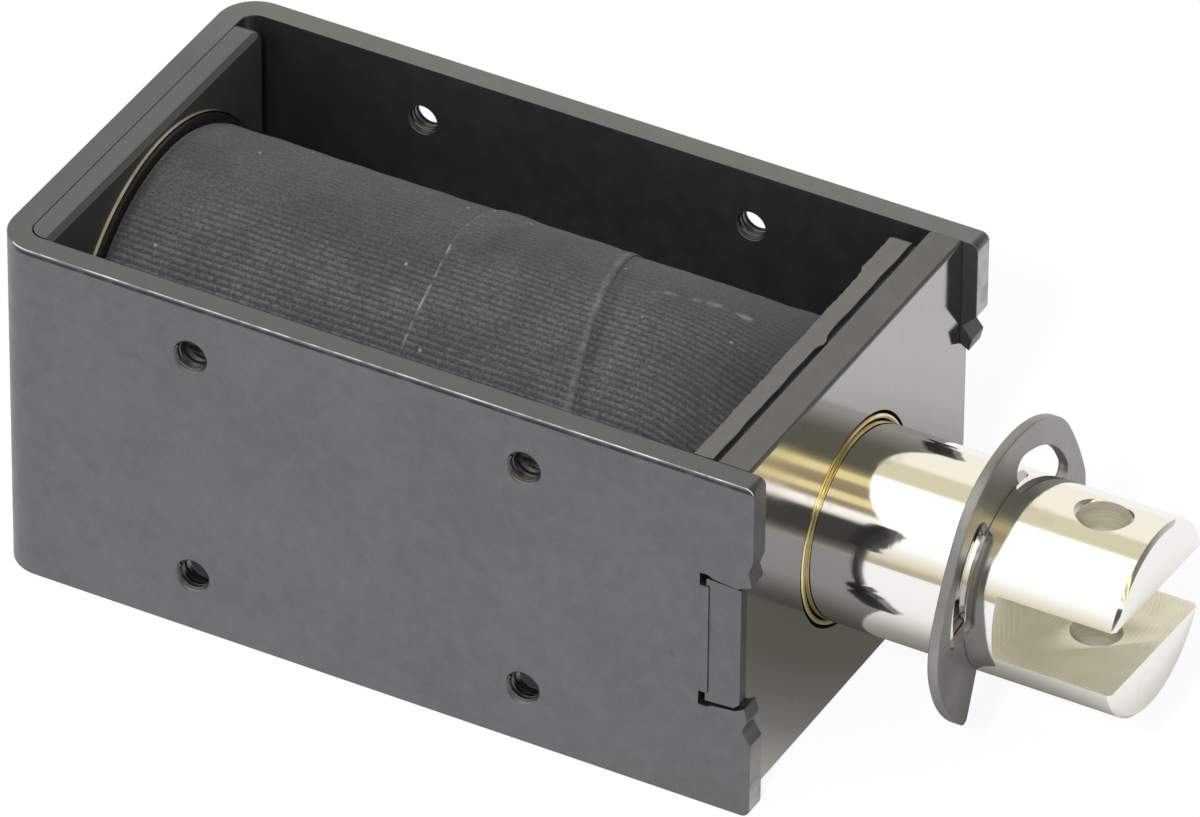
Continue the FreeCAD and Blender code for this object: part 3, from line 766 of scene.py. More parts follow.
def cad_copy(node: str, name: str) -> Object:
    """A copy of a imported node's mesh, its loose triangles merged into flat faces.

    Args:
        node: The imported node.
        name: Name of the copy.

    Returns:
        The copy.
    """
    shape = bmesh.new()
    shape.from_mesh(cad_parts[node].data)
    bmesh.ops.remove_doubles(shape, verts=shape.verts, dist=1e-6)
    limit = math.radians(0.4)
    bmesh.ops.dissolve_limit(shape, angle_limit=limit, verts=shape.verts, edges=shape.edges, delimit={"NORMAL"})
    mesh = bpy.data.meshes.new(name)
    shape.to_mesh(mesh)
    shape.free()
    return add_object(name, mesh)


def apply_modifiers(item: Object) -> None:
    """Replace an object's mesh by its evaluated one and drop its modifiers."""
    bpy.context.view_layer.update()
    graph = bpy.context.evaluated_depsgraph_get()
    mesh = bpy.data.meshes.new_from_object(item.evaluated_get(graph))
    item.modifiers.clear()
    item.data = mesh


def prism(name: str, outline: Profile, start: float, end: float) -> Object:
    """An outline in X and Z carried along Y, used only to build up or cut other pieces."""
    count = len(outline)
    points = [(x, y, z) for y in (start, end) for x, z in outline]
    sides = [(step, (step + 1) % count, (step + 1) % count + count, step + count) for step in range(count)]
    return mesh_from(name, points, [*sides, tuple(range(count)), tuple(range(count, 2 * count))])


def cut(item: Object, tool: Object, operation: str = "DIFFERENCE") -> None:
    """Take one solid out of another, or join it on, and remove the tool."""
    modifier = item.modifiers.new("cut", "BOOLEAN")
    modifier.operation = operation
    modifier.solver = "EXACT"
    modifier.object = tool
    apply_modifiers(item)
    bpy.data.objects.remove(tool)


def bevel(
    item: Object,
    width: float,
    materials: Sequence[Material] = (),
    flats: bool = True,
) -> None:
    """Round an object's sharp edges and shade it smooth.

    Args:
        item: The object.
        width: Width of the rounding.
        materials: Materials of the piece, the second one for the new faces.
        flats: Whether the flat faces keep their own normals up to the rounding.
    """
    item.data.shade_smooth()
    for material in materials:
        item.data.materials.append(material)
    modifier = item.modifiers.new("edges", "BEVEL")
    modifier.width = width
    modifier.segments = 2
    modifier.limit_method = "ANGLE"
    modifier.angle_limit = math.radians(34.0)
    modifier.miter_outer = "MITER_ARC"
    modifier.material = 1 if len(materials) > 1 else -1
    if flats:
        weights = item.modifiers.new("flats", "WEIGHTED_NORMAL")
        weights.mode = "FACE_AREA"
        weights.weight = 70
    apply_modifiers(item)


def smooth(item: Object, angle: float = 32.0) -> None:
    """Shade an object smooth, except over edges sharper than an angle in degrees."""
    item.data.shade_smooth()
    item.data.set_sharp_from_angle(angle=math.radians(angle))


def round_normals(item: Object, radii: Sequence[float]) -> None:
    """Give the faces on round surfaces about the axis the normals of a true cylinder.

    Args:
        item: The object, already shaded smooth.
        radii: Radii of its cylinders.
    """
    mesh = item.data
    normals = [tuple(corner.vector) for corner in mesh.corner_normals]
    for face in mesh.polygons:
        outward = Vector((0, face.center.y, face.center.z - AXIS_Z))
        if outward.length < 1e-9 or face.normal.dot(outward.normalized()) < 0.998:
            continue
        for loop in face.loop_indices:
            point = mesh.vertices[mesh.loops[loop].vertex_index].co
            away = Vector((0, point.y, point.z - AXIS_Z))
            if any(abs(away.length - radius) < 2e-5 for radius in radii):
                normals[loop] = tuple(away.normalized())
    mesh.normals_split_custom_set(normals)


def dress(
    item: Object, materials: Sequence[Material], slot: Slot, *stands_for: str, body: Body = Body.FRAME
) -> None:
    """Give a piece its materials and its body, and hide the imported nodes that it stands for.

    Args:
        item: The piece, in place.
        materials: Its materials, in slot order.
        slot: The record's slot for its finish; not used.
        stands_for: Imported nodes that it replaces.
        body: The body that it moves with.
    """
    indices = [face.material_index for face in item.data.polygons]
    item.data.materials.clear()
    for material in materials:
        item.data.materials.append(material)
    for face, index in zip(item.data.polygons, indices):
        face.material_index = index
    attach(item, body.value)
    if stands_for:
        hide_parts(*stands_for)
    LOG.info("%s: %d faces", item.name, len(item.data.polygons))


def repaint(node: str, material: Material) -> None:
    """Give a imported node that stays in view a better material."""
    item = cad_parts[node]
    item.data.materials.clear()
    item.data.materials.append(material)
    LOG.info("%s: repainted", node)


def recolour(item: Object, index: int, chosen: Callable[[bpy.types.MeshPolygon], bool]) -> None:
    """Give the chosen faces another of the piece's materials."""
    for face in item.data.polygons:
        if chosen(face):
            face.material_index = index


def ahead_at(face: bpy.types.MeshPolygon, station: float) -> bool:
    """Whether a face looks along +X from a station."""
    return face.normal.x > 0.99 and abs(face.center.x - station) < 0.02 * MM


# The sub-assemblies


@dataclass
class SteelFrame:
    """The bent strip with its tapped holes, and the plates inside its ends."""

    edge: float = 0.21 * MM
    plate_edge: float = 0.16 * MM
    thread_pitch: float = 0.5 * MM
    thread_ridge: float = 0.14 * MM
    hole_radius: float = 1.25 * MM
    hole_spacing_long: float = 28.2 * MM
    hole_spacing_tall: float = 20.2 * MM
    hole_centre_from_rear: float = 31.1 * MM
    notch_depth: float = 4.15 * MM
    tab_from_end: float = 3.9 * MM
    tab_upset: float = 1.0 * MM
    tab_below: float = 0.15 * MM
    tab_half: float = 5.6 * MM
    plate_step: float = 0.22 * MM
    plate_step_at: float = 9.6 * MM
    plate_burr: float = 0.08 * MM
    burr_bridge: float = 0.3 * MM
    burr_bridge_at: float = 0.2 * MM
    gap_depth: float = 0.55 * MM
    rolled_edge: float = 0.45 * MM
    lip_reach: float = 1.2 * MM
    upper_lip: tuple[float, float] = (5.0 * MM, 8.0 * MM)
    lower_lip: tuple[float, float] = (-8.0 * MM, -6.4 * MM)
    seat: tuple[float, float] = (-4.8 * MM, 4.9 * MM)
    seat_depth: float = 0.78 * MM

    def make(self) -> None:
        """Build and dress every steel piece of the frame."""
        plating = BlackenedSteel("inner_plate_finish").material()
        rubbed = rubbed_edge("rubbed_edge_finish", 0.9, 0.34, 0.5).material()
        sheared = rubbed_edge("sheared_end_finish", 0.44, 0.3, 0.45).material()
        # The strip's plating carries a painted shadow line under the near wall's burr.
        self.strip(BlackenedSteel(lip=0.43 * MM, far_top_paler=0.3).material(), rubbed, sheared)
        self.end_plate(plating, rubbed_edge("worn_corner_finish", 0.4, 0.14, 0.6).material())
        pale_plating = BlackenedSteel("front_plate_finish", 0.205).material()
        self.front_plate(pale_plating, rubbed_edge("burr_finish", 0.5, 0.17, 0.56).material())
        # Darker plating for the rear plate's front face: painted shade where the coil and walls keep the light off.
        shaded = BlackenedSteel("shaded_plate_finish", 0.05, metal=0.3, roughness=0.6).material()
        self.rear_plate(BlackenedSteel("rear_plate_finish", far_top_paler=0.02).material(), shaded)
        self.threads()

    def strip(self, plating: Material, burr: Material, sheared: Material) -> None:
        """The bent strip, with a bright burr outside along the near wall's top."""
        item = cad_copy("frame_yoke", "bent_frame")
        self.press_lips(item)
        bevel(item, self.edge, (plating, burr))
        dress(item, (plating, burr, sheared), Slot.BLACKENED_STEEL, "frame_yoke")
        low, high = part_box("frame_yoke")
        near, top = low.y + 2 * self.edge, high.z - 2 * self.edge
        recolour(item, 0, lambda f: f.material_index == 1 and not (f.center.y < near and f.center.z > top))
        recolour(item, 2, lambda f: (f.center.y > 0 or f.center.z < AXIS_Z) and ahead_at(f, high.x))

    def press_lips(self, item: Object) -> None:
        """Close the notches up to the tabs, and set the near wall's chisel marks as they fell."""
        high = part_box("frame_yoke")[1]
        for vertex in item.data.vertices:
            point = vertex.co
            back = high.x - point.x
            up = point.z - AXIS_Z
            if point.y > 0 or not 0.01 * MM < back < self.lip_reach:
                continue
            if self.upper_lip[0] < up < self.upper_lip[1]:
                point.x = high.x - back * 0.35
                point.z += 0.9 * MM if up < self.upper_lip[0] + 0.4 * MM else 0.0
            elif self.lower_lip[0] < up < self.lower_lip[1]:
                point.x = high.x - back * 0.65
        floor = high.x - self.notch_depth - 0.3 * MM
        start = high.x - self.tab_from_end + 0.27 * MM
        low, top = (AXIS_Z + side for side in self.seat)
        outline = ((floor, low), (start, low), (start, top), (floor, top))
        cut(item, prism("seat_metal", outline, -high.y, self.seat_depth - high.y), "UNION")

    def end_plate(self, plating: Material, worn: Material) -> None:
        """The end plate: brushed on its outer face, dark like the frame elsewhere, its tabs upset."""
        item = cad_copy("end_plate", "closing_plate")
        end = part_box("frame_yoke")[1]
        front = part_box("end_plate")[1].x
        start, upset = end.x - self.tab_from_end, end.x - self.tab_upset
        outline = (
            (start, AXIS_Z - self.tab_half),
            (front - 0.2 * MM, AXIS_Z - 5.45 * MM),
            (upset, AXIS_Z - 5.0 * MM),
            (upset, AXIS_Z + 5.45 * MM),
            (start, AXIS_Z + self.tab_half),
        )
        cut(item, prism("tab_stub", outline, self.tab_below - end.y, 1.1 * MM - end.y), "UNION")
        bevel(item, self.edge * 0.8, (plating, worn))
        materials = (plating, worn, BRUSHED_PLATE.material())
        dress(item, materials, Slot.END_PLATE_STEEL, "end_plate")
        recolour(item, 2, lambda face: ahead_at(face, front))

    def front_plate(self, plating: Material, burred: Material) -> None:
        """The plate behind the end plate, with a burred upper edge and a step in its back."""
        item = cad_copy("front_inner_plate", "inner_plate_front")
        self.refine_top(item, "front_inner_plate")
        low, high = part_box("front_inner_plate")
        for vertex in item.data.vertices:
            point = vertex.co
            near_top = min(1.0, max(0.0, 1.0 - (high.z - point.z) / (4.0 * MM)))
            swell = math.sin(point.y * 410.0 + 0.4)
            rough = swell * math.sin(point.y * 2600.0) + math.sin(point.y * 970.0 + 1.3) + math.sin(point.y * 6100.0)
            if point.x < (low.x + high.x) / 2:
                step = 1.0 / (1.0 + math.exp(-(point.y - self.plate_step_at) / (0.12 * MM)))
                point.x += near_top * (self.plate_burr * rough / 3.0 - self.plate_step * step)
            else:
                bridge = math.exp(-(((point.y - self.burr_bridge_at) / (0.55 * MM)) ** 2))
                worn = -0.07 * MM + self.plate_burr * math.sin(point.y * 1370.0 + 0.7) * swell * 0.6
                point.x += near_top * (worn * (1 - bridge) + self.burr_bridge * bridge)
        bevel(item, self.plate_edge, (plating, burred))
        packing = block(
            "gap_packing",
            (high.x - 0.4 * MM, low.y + 0.4 * MM, high.z - 3.0 * MM),
            (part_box("end_plate")[0].x - 0.01 * MM, high.y - 0.4 * MM, high.z - self.gap_depth),
        )
        cut(item, packing, "UNION")
        dress(item, (plating, burred), Slot.PLATE_STEEL, "front_inner_plate")

    def rear_plate(self, plating: Material, shaded: Material) -> None:
        """The plate on the rear wall, its upper edge rolled over by the press, its front face in painted shade."""
        item = cad_copy("rear_inner_plate", "inner_plate_rear")
        front, _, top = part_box("rear_inner_plate")[1]
        over = 0.05 * MM
        back, under = front - self.rolled_edge, top - self.rolled_edge
        outline = ((back, top + over), (front + over, top + over), (front + over, under))
        cut(item, prism("edge_tool", outline, -20 * MM, 20 * MM))
        bevel(item, self.plate_edge)
        dress(item, (plating, shaded), Slot.PLATE_STEEL, "rear_inner_plate")
        # Its front face takes the darker plating as painted shade.
        recolour(item, 1, lambda face: ahead_at(face, front))

    def refine_top(self, item: Object, node: str) -> None:
        """Slice a plate across its width, so that its upper edge can be uneven."""
        low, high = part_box(node)
        shape = bmesh.new()
        shape.from_mesh(item.data)
        slices = range(1, int((high.y - low.y) / (0.5 * MM)))
        planes = [((0, low.y + step * 0.5 * MM, 0), (0, 1, 0)) for step in slices]
        planes += [((0, 0, high.z - down * MM), (0, 0, 1)) for down in (0.6, 1.5, 4.0)]
        for place, direction in planes:
            parts = [*shape.verts, *shape.edges, *shape.faces]
            bmesh.ops.bisect_plane(shape, geom=parts, plane_co=place, plane_no=direction, dist=1e-7)
        shape.to_mesh(item.data)
        shape.free()

    def threads(self) -> None:
        """The M3 threads in the eight tapped holes."""
        low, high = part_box("frame_yoke")
        wall = high.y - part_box("end_plate")[1].y + 0.8 * MM
        inset = 0.15 * MM
        middle = low.x + self.hole_centre_from_rear
        places = [
            (middle + along * self.hole_spacing_long / 2, face, AXIS_Z + up * self.hole_spacing_tall / 2)
            for face in (low.y + wall - inset, high.y - inset)
            for along in (-1, 1)
            for up in (-1, 1)
        ]
        item = mesh_from("tapped_threads", places, ())
        length = wall - 2 * inset
        thread_sheet().run(
            item,
            Radius=self.hole_radius + self.thread_ridge * 0.25,
            Length=length,
            Turns=length / self.thread_pitch,
            Ridge=self.thread_ridge,
            Material=turned_iron("thread_flank_finish", 0.13).material(),
        )
        smooth(item)
        dress(item, tuple(item.data.materials), Slot.BLACKENED_STEEL)


@dataclass(frozen=True)
class Fold:
    """A fold across the tape.

    Attributes:
        station: Its place at the very top, in millimetres along X.
        slant: Millimetres by which it wanders for each degree round the coil.
        width: Its half width in millimetres.
        height: Millimetres by which it stands out.
        tone: Share of painted light on it: a painted highlight above 0, painted shade below.
        everywhere: Whether it runs all round and not only near the top.
    """

    station: float
    slant: float
    width: float
    height: float
    tone: float
    everywhere: bool = False

    def showing(self, place: np.ndarray, turned_by: np.ndarray, near_top: np.ndarray) -> np.ndarray:
        """How much of the fold each point has, from 0 to 1."""
        across = bell(place, self.station + self.slant * turned_by, self.width)
        return across if self.everywhere else across * near_top


# Folds with their painted light and shade: painted shade in the creases, a painted highlight on the ridge.
TAPE_FOLDS = (
    Fold(-12.1, 0.03, 0.6, -0.03, -0.14),
    Fold(-7.2, -0.04, 0.6, 0.0, -0.12),
    Fold(-8.4, -0.04, 0.7, 0.04, 0.0),
    Fold(1.6, 0.0, 0.5, 0.03, 0.12, everywhere=True),
)
# Stations in millimetres and degrees from the top towards the far wall
SEAM_PATH = ((0, 5.5), (1.2, 6.5), (3, 9.0), (5.8, 11.8), (10, 12.0))
WORN_ABOVE = ((-40, -24), (-36, -20), (-31, -7), (-15, -6), (-7, 3), (1, 6.5), (9, 11), (14, 4))


@dataclass
class TapedCoil:
    """The brass bobbin, its insulation and winding, and the cloth tape round them."""

    yarn: float = 0.2 * MM
    bed: float = 0.13 * MM
    step: float = 0.5 * MM
    end_drop: float = 0.3 * MM
    end_round: float = 0.9 * MM
    lap: float = 0.12 * MM
    end_twist: float = 9.0
    wave: float = 0.12
    tape_thickness: float = 0.25 * MM

    def make(self) -> None:
        """Build and dress the coil."""
        brass = drawn_brass("bare_brass_finish", (0.82, 0.69, 0.37, 1.0), (0.6, 0.49, 0.24, 1.0)).material()
        # Near-black brass for the flanges' faces: painted shade where they sit between the rear plate and the tape.
        dark = drawn_brass("painted_shade_brass_finish", (0.03, 0.028, 0.022, 1.0), (0.02, 0.018, 0.014, 1.0))
        rim = drawn_brass("sheared_brass_finish", (0.5, 0.46, 0.33, 1.0), (0.36, 0.33, 0.23, 1.0), 0.15)
        flange_brass = (dark.material(), rim.material())
        fibre = VARNISHED_FIBRE.material()
        for node, name in (("rear_flange", "flange_rear"), ("front_flange", "flange_front")):
            self.flange(node, name, flange_brass)
        for node in ("rear_insulating_washer", "front_insulating_washer", "insulating_sleeve"):
            repaint(node, fibre)
        repaint("stop_core", turned_iron("turned_iron_finish", 0.42).material())
        self.winding()
        self.tube(brass)
        self.tape()

    def flange(self, node: str, name: str, brass: Sequence[Material]) -> None:
        """One flange of the bobbin, bright only on its sheared rim, its faces near black as painted shade."""
        item = cad_copy(node, name)
        smooth(item)
        dress(item, brass, Slot.BRASS, node)
        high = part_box(node)[1].y
        # The rim takes the sheared brass; every other face keeps the painted shade.
        recolour(
            item,
            1,
            lambda f: abs(f.normal.x) < 0.5 and max(abs(f.center.y), abs(f.center.z - AXIS_Z)) > high / 2,
        )

    def winding(self) -> None:
        """The copper winding, its ends sunk a little where the wire turns back."""
        low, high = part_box("coil_winding")
        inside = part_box("insulating_sleeve")[1].y + 0.01 * MM
        drop = self.end_drop + 0.2 * MM
        profile = (
            (low.x, inside),
            (low.x, high.y - drop),
            (low.x + 2 * self.end_round, high.y),
            (high.x - self.end_round, high.y),
            (high.x, high.y - drop),
            (high.x, inside),
        )
        item = lathe("copper_winding", profile, 96, closed=True)
        smooth(item)
        dress(item, (ENAMELLED_COPPER.material(),), Slot.COPPER, "coil_winding")

    def tube(self, brass: Material) -> None:
        """The brass tube with its rim rounded over."""
        low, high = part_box("bobbin_tube")
        outside = (high.z - low.z) / 2
        inside = plunger_radius() + 0.1 * MM
        middle, half = (outside + inside) / 2, (outside - inside) / 2
        profile = [(low.x, inside), (low.x, outside)]
        for step in range(7):
            angle = math.pi * step / 6
            profile.append((high.x - half * (1 - math.sin(angle)), middle + half * math.cos(angle)))
        item = lathe("brass_tube", profile, 160, closed=True)
        smooth(item)
        dress(item, (brass,), Slot.BRASS, "bobbin_tube")

    def tape(self) -> None:
        """The three wraps of ribbed tape."""
        finish = ClothTape()
        material = finish.material()
        sheet = ribbed_cloth_sheet()
        inset = 0.1 * MM
        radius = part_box("rear_tape_wrap")[1].z - AXIS_Z - self.yarn - 0.06 * MM
        ground = radius + self.bed
        for place in ("rear", "front", "middle"):
            node = f"{place}_tape_wrap"
            low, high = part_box(node)
            item = self.bed_of(f"tape_{place}", low.x, high.x, ground)
            sheet.run(
                item,
                Start=low.x + inset,
                End=high.x - inset,
                Radius=radius,
                Yarn=self.yarn,
                Ribs=finish.ribs,
                Steps=int((high.x - low.x) / self.step),
                Height=AXIS_Z,
                Material=material,
            )
            self.settle(item, ground, place == "middle")
            smooth(item, 80.0)
            dress(item, (material,), Slot.CLOTH_TAPE, node)

    def bed_of(self, name: str, start: float, end: float, radius: float) -> Object:
        """The woven ground of one wrap, as a thin closed sleeve."""
        inner = radius - self.tape_thickness
        rows = max(3, int((end - start) / self.step))
        stations = [start + (end - start) * row / rows for row in range(rows + 1)]
        profile = [(start, inner)] + [(at, radius) for at in stations] + [(end, inner)]
        return lathe(name, profile, 176, closed=True)

    def settle(self, item: Object, ground: float, over: bool) -> None:
        """Shape a wrap as wound by hand, and note on its points what the finish needs.

        Args:
            item: The wrap's mesh.
            ground: Radius of its woven ground.
            over: Whether the wrap lies on top of its neighbours.
        """
        mesh = item.data
        count = len(mesh.vertices)
        points = np.zeros(count * 3, np.float32)
        mesh.vertices.foreach_get("co", points)
        points = points.reshape(-1, 3).astype(float)
        rear, front = (corner.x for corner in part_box("middle_tape_wrap"))
        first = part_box("rear_tape_wrap")[0].x
        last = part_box("front_tape_wrap")[1].x
        along, across = points[:, 0], points[:, 1]
        up = points[:, 2] - AXIS_Z
        angle = np.arctan2(across, up)
        radius = np.hypot(across, up)
        turned_by = np.degrees(angle)
        to_rear = (1.0 - 0.55 * np.tanh((turned_by + 8) / 14) * np.cos(angle / 2) ** 2) * MM
        to_front = (-0.65 - 3.3 * np.sin(angle)) * MM
        wound = (
            along
            + to_rear * np.interp(along, (first + 4 * MM, rear, front), (0, 1, 0))
            + to_front * np.interp(along, (rear, front, last - 4 * MM, last), (0, 1, 0.1, 0))
        )
        place = wound / MM
        from_rear = (wound - rear - to_rear) / MM
        from_front = (wound - front - to_front) / MM
        seam = np.radians(turned_by - np.interp(place, *zip(*SEAM_PATH))) * ground / MM
        seam = np.where((place > 0.8) & (place < 9.6), seam, 9.0)
        worn_above = np.interp(place, *zip(*WORN_ABOVE))
        ribbing = smooth_step(turned_by, worn_above + 3, worn_above - 12)
        ribbing = np.where(turned_by > 120, 1.0, ribbing)
        near_top = bell(turned_by, 8.0, 22.0)
        folds = [(fold, fold.showing(place, turned_by, near_top)) for fold in TAPE_FOLDS]
        # Painted light and shade on the tape: painted shade at the rear end by the flange, towards the front plate,
        # in the groove past the front lap and in the creases; a painted highlight low on the near side, past the
        # rear lap at the top and on the ridges.
        painted_shading = (
            0.86
            + 0.14 * smooth_step(turned_by, -15, -38)
            - 0.6 * smooth_step(along, first + 1.1 * MM, first)
            - 0.42 * smooth_step(along, front + 1 * MM, last)
            - 0.3 * bell(from_front, 0.45, 0.42) * smooth_step(turned_by, 25, 5)
            + 0.14 * bell(from_rear, 1.2, 0.9) * near_top
            + sum(fold.tone * share for fold, share in folds)
        )
        soft = np.sin(place * 0.33 + angle) + 0.7 * np.sin(place * 0.71 - angle * 2.0 + 1.1)
        puckered = np.sin(place * 1.37 + 3.0 * angle) * np.sin(place * 0.43 + 0.9)
        raised = (
            0.02 * soft
            + 0.035 * puckered
            + 0.045 * bell(from_front, -0.4, 0.36)
            - 0.05 * bell(from_front, 0.4, 0.4)
            + 0.04 * bell(from_rear, 1.4, 1.2)
            + sum(fold.height * share for fold, share in folds)
        ) * MM * smooth_step(along, last, last - 1.5 * MM)
        raised += self.lap if over else 0.0
        dropped = self.end_drop * (1 - smooth_step(along, first - 0.4 * MM, first + self.end_round)) ** 2
        flattened = ground + (radius - ground) * np.where(radius > ground, 0.25 + 0.75 * ribbing, 1.0)
        reach = flattened + raised - dropped
        twist = np.radians(self.end_twist) * smooth_step(along, front + 1 * MM, last + 2 * MM) ** 2
        wave = np.radians(self.wave) * np.sin(place * 0.55 + 2.0 * np.sin(angle * 2))
        turned = angle - twist + wave
        moved = np.stack([wound, reach * np.sin(turned), AXIS_Z + reach * np.cos(turned)], 1)
        mesh.vertices.foreach_set("co", moved.astype(np.float32).ravel())
        mesh.update()
        carry(mesh, "laid", np.stack([along, across, up], 1))
        carry(mesh, "marks", np.stack([from_rear if over else from_rear * 0 + 9, from_front, seam], 1))
        carry(mesh, "ribbing", ribbing)
        carry(mesh, "painted_shading", np.clip(painted_shading, 0.0, 1.0))


def carry(mesh: bpy.types.Mesh, name: str, values: np.ndarray) -> None:
    """Store a number or a vector on every point of a mesh."""
    kind, key = ("FLOAT_VECTOR", "vector") if values.ndim == 2 else ("FLOAT", "value")
    mesh.attributes.new(name, kind, "POINT").data.foreach_set(key, values.astype(np.float32).ravel())


def bell(values: np.ndarray, middle: object, width: float) -> np.ndarray:
    """A soft bump of height 1 about a place."""
    return np.exp(-(((values - middle) / width) ** 2))


def smooth_step(values: np.ndarray, start: float, end: float) -> np.ndarray:
    """A smooth rise from 0 at start to 1 at end."""
    share = np.clip((values - start) / (end - start), 0.0, 1.0)
    return share * share * (3 - 2 * share)


def plunger_radius() -> float:
    """The plunger's radius."""
    low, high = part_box("plunger")
    return (high.y - low.y) / 2


@dataclass
class PlatedPlunger:
    """The plunger with its ring groove, clevis slot and cross hole."""

    slot_depth: float = 9.65 * MM
    slot_height: float = 5.5 * MM
    pin_radius: float = 2.0 * MM
    pin_sink: float = 0.3 * MM
    pin_from_tip: float = 4.8 * MM
    groove_radius: float = 6.0 * MM
    groove_gap: float = 0.03 * MM
    edge: float = 0.3 * MM
    soft_edge: float = 0.12 * MM
    turn: float = -3.5
    nose_radius: float = 2.8 * MM
    cone_depth: float = 4.0 * MM
    cone_rim: float = 0.9 * MM

    def make(self) -> None:
        """Build and dress the plunger."""
        low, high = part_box("plunger")
        ring_low, ring_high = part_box("e_ring")
        radius = plunger_radius()
        shoulder = low.x + self.cone_depth
        groove = (ring_low.x - self.groove_gap, ring_high.x + self.groove_gap)
        profile = (
            (low.x, 0.0),
            (low.x, self.nose_radius),
            (shoulder, radius - self.cone_rim),
            (shoulder, radius - self.edge / 2),
            (shoulder + self.edge / 2, radius),
            (groove[0], radius),
            (groove[0], self.groove_radius),
            (groove[1], self.groove_radius),
            (groove[1], radius),
            (high.x - self.edge, radius),
            (high.x, radius - self.edge),
            (high.x, 0.0),
        )
        item = lathe("plated_plunger", profile, 144)
        half = self.slot_height / 2
        root, beyond = high.x - self.slot_depth, high.x + 2 * MM
        pin = high.x - self.pin_from_tip
        wide = radius + 2 * MM
        cut(item, block("slot_tool", (root, -wide, AXIS_Z - half), (beyond, wide, AXIS_Z + half)))
        cut(item, self.pin_tool(pin, radius))
        bevel(item, self.soft_edge, flats=False)
        smooth(item)
        round_normals(item, (radius, self.groove_radius))
        materials = (NICKEL_PLATE.material(), MilledNickel().material(), REAMED_NICKEL.material())
        dress(item, materials, Slot.NICKEL, "plunger", body=Body.PLUNGER)
        recolour(item, 1, lambda f: ahead_at(f, root))
        recolour(item, 1, lambda f: abs(f.normal.z) > 0.99 and abs(abs(f.center.z - AXIS_Z) - half) < 0.01 * MM)
        bore = self.pin_radius + 0.02 * MM
        recolour(item, 2, lambda f: abs(f.normal.z) < 0.3 and math.hypot(f.center.x - pin, f.center.y) < bore)
        about = Matrix.Translation((0, 0, AXIS_Z))
        item.data.transform(about @ Matrix.Rotation(math.radians(self.turn), 4, "X") @ about.inverted())

    def pin_tool(self, station: float, radius: float) -> Object:
        """The cutter of the cross hole, with a countersink at each end."""
        wide = self.pin_radius + self.pin_sink * 2
        far = radius + self.pin_sink
        near_by = radius - self.pin_sink
        profile = (
            (-far, 0.0),
            (-far, wide),
            (-near_by, self.pin_radius),
            (near_by, self.pin_radius),
            (far, wide),
            (far, 0.0),
        )
        tool = lathe("pin_tool", profile, 72)
        upright = Matrix.Rotation(math.radians(-90.0), 4, "Y")
        to_origin = Matrix.Translation((0, 0, -AXIS_Z))
        tool.data.transform(Matrix.Translation((station, 0, AXIS_Z)) @ upright @ to_origin)
        return tool


@dataclass
class RetainingRing:
    """The open ring in the plunger's groove."""

    edge: float = 0.09 * MM

    def make(self) -> None:
        """Build and dress the ring."""
        item = cad_copy("e_ring", "retaining_ring")
        bevel(item, self.edge)
        dress(item, (PHOSPHATED_SPRING.material(),), Slot.SPRING_STEEL, "e_ring", body=Body.RING)


# Distances from the middle of a painted shadow on the floor, with the colours that polished metal sees there
FLOOR_BANDS = (
    (0.0, 0.18, 0.18, 0.15),
    (0.008, 0.2, 0.2, 0.17),
    (0.012, 0.25, 0.245, 0.22),
    (0.016, 0.34, 0.335, 0.31),
    (0.022, 0.65, 0.64, 0.6),
    (0.027, 0.86, 0.85, 0.82),
    (0.032, 0.93, 0.91, 0.9),
    (0.06, 0.96, 0.955, 0.95),
)
# Angles over the far horizon in degrees, with the colours that polished metal sees there
BANDS_BEHIND = (
    (-30.0, 0.9, 0.88, 0.84),
    (-6.0, 0.7, 0.64, 0.52),
    (-3.0, 0.5, 0.43, 0.32),
    (4.0, 0.5, 0.43, 0.32),
    (8.0, 0.68, 0.62, 0.48),
    (12.0, 0.78, 0.73, 0.58),
    (20.0, 0.93, 0.91, 0.84),
    (28.0, 1.08, 1.08, 1.05),
    (36.0, 1.25, 1.25, 1.25),
    (94.0, 1.25, 1.25, 1.25),
    (98.0, 0.7, 0.66, 0.46),
    (119.0, 0.7, 0.66, 0.46),
    (124.0, 0.97, 0.91, 0.79),
    (148.0, 0.97, 0.91, 0.79),
    (180.0, 0.95, 0.9, 0.8),
)
BANDS_AHEAD = (
    (-30.0, 0.7, 0.69, 0.66),
    (-20.0, 1.0, 0.99, 0.95),
    (-4.0, 1.0, 0.99, 0.95),
    (4.0, 0.3, 0.29, 0.24),
    (12.0, 0.1, 0.1, 0.09),
    (36.0, 0.1, 0.1, 0.09),
    (40.0, 2.0, 1.95, 1.82),
    (47.0, 2.3, 2.25, 2.1),
    (50.0, 0.7, 0.55, 0.38),
    (55.0, 0.7, 0.55, 0.38),
    (57.0, 1.75, 1.5, 0.78),
    (63.0, 1.75, 1.5, 0.78),
    (66.0, 0.62, 0.5, 0.3),
    (77.0, 0.7, 0.58, 0.34),
    (80.0, 1.7, 1.48, 0.72),
    (87.0, 1.7, 1.48, 0.72),
    (90.0, 0.7, 0.58, 0.3),
    (95.0, 0.32, 0.3, 0.2),
    (100.0, 0.2, 0.2, 0.15),
    (135.0, 0.22, 0.21, 0.17),
    (155.0, 0.4, 0.39, 0.35),
    (180.0, 0.6, 0.59, 0.55),
)


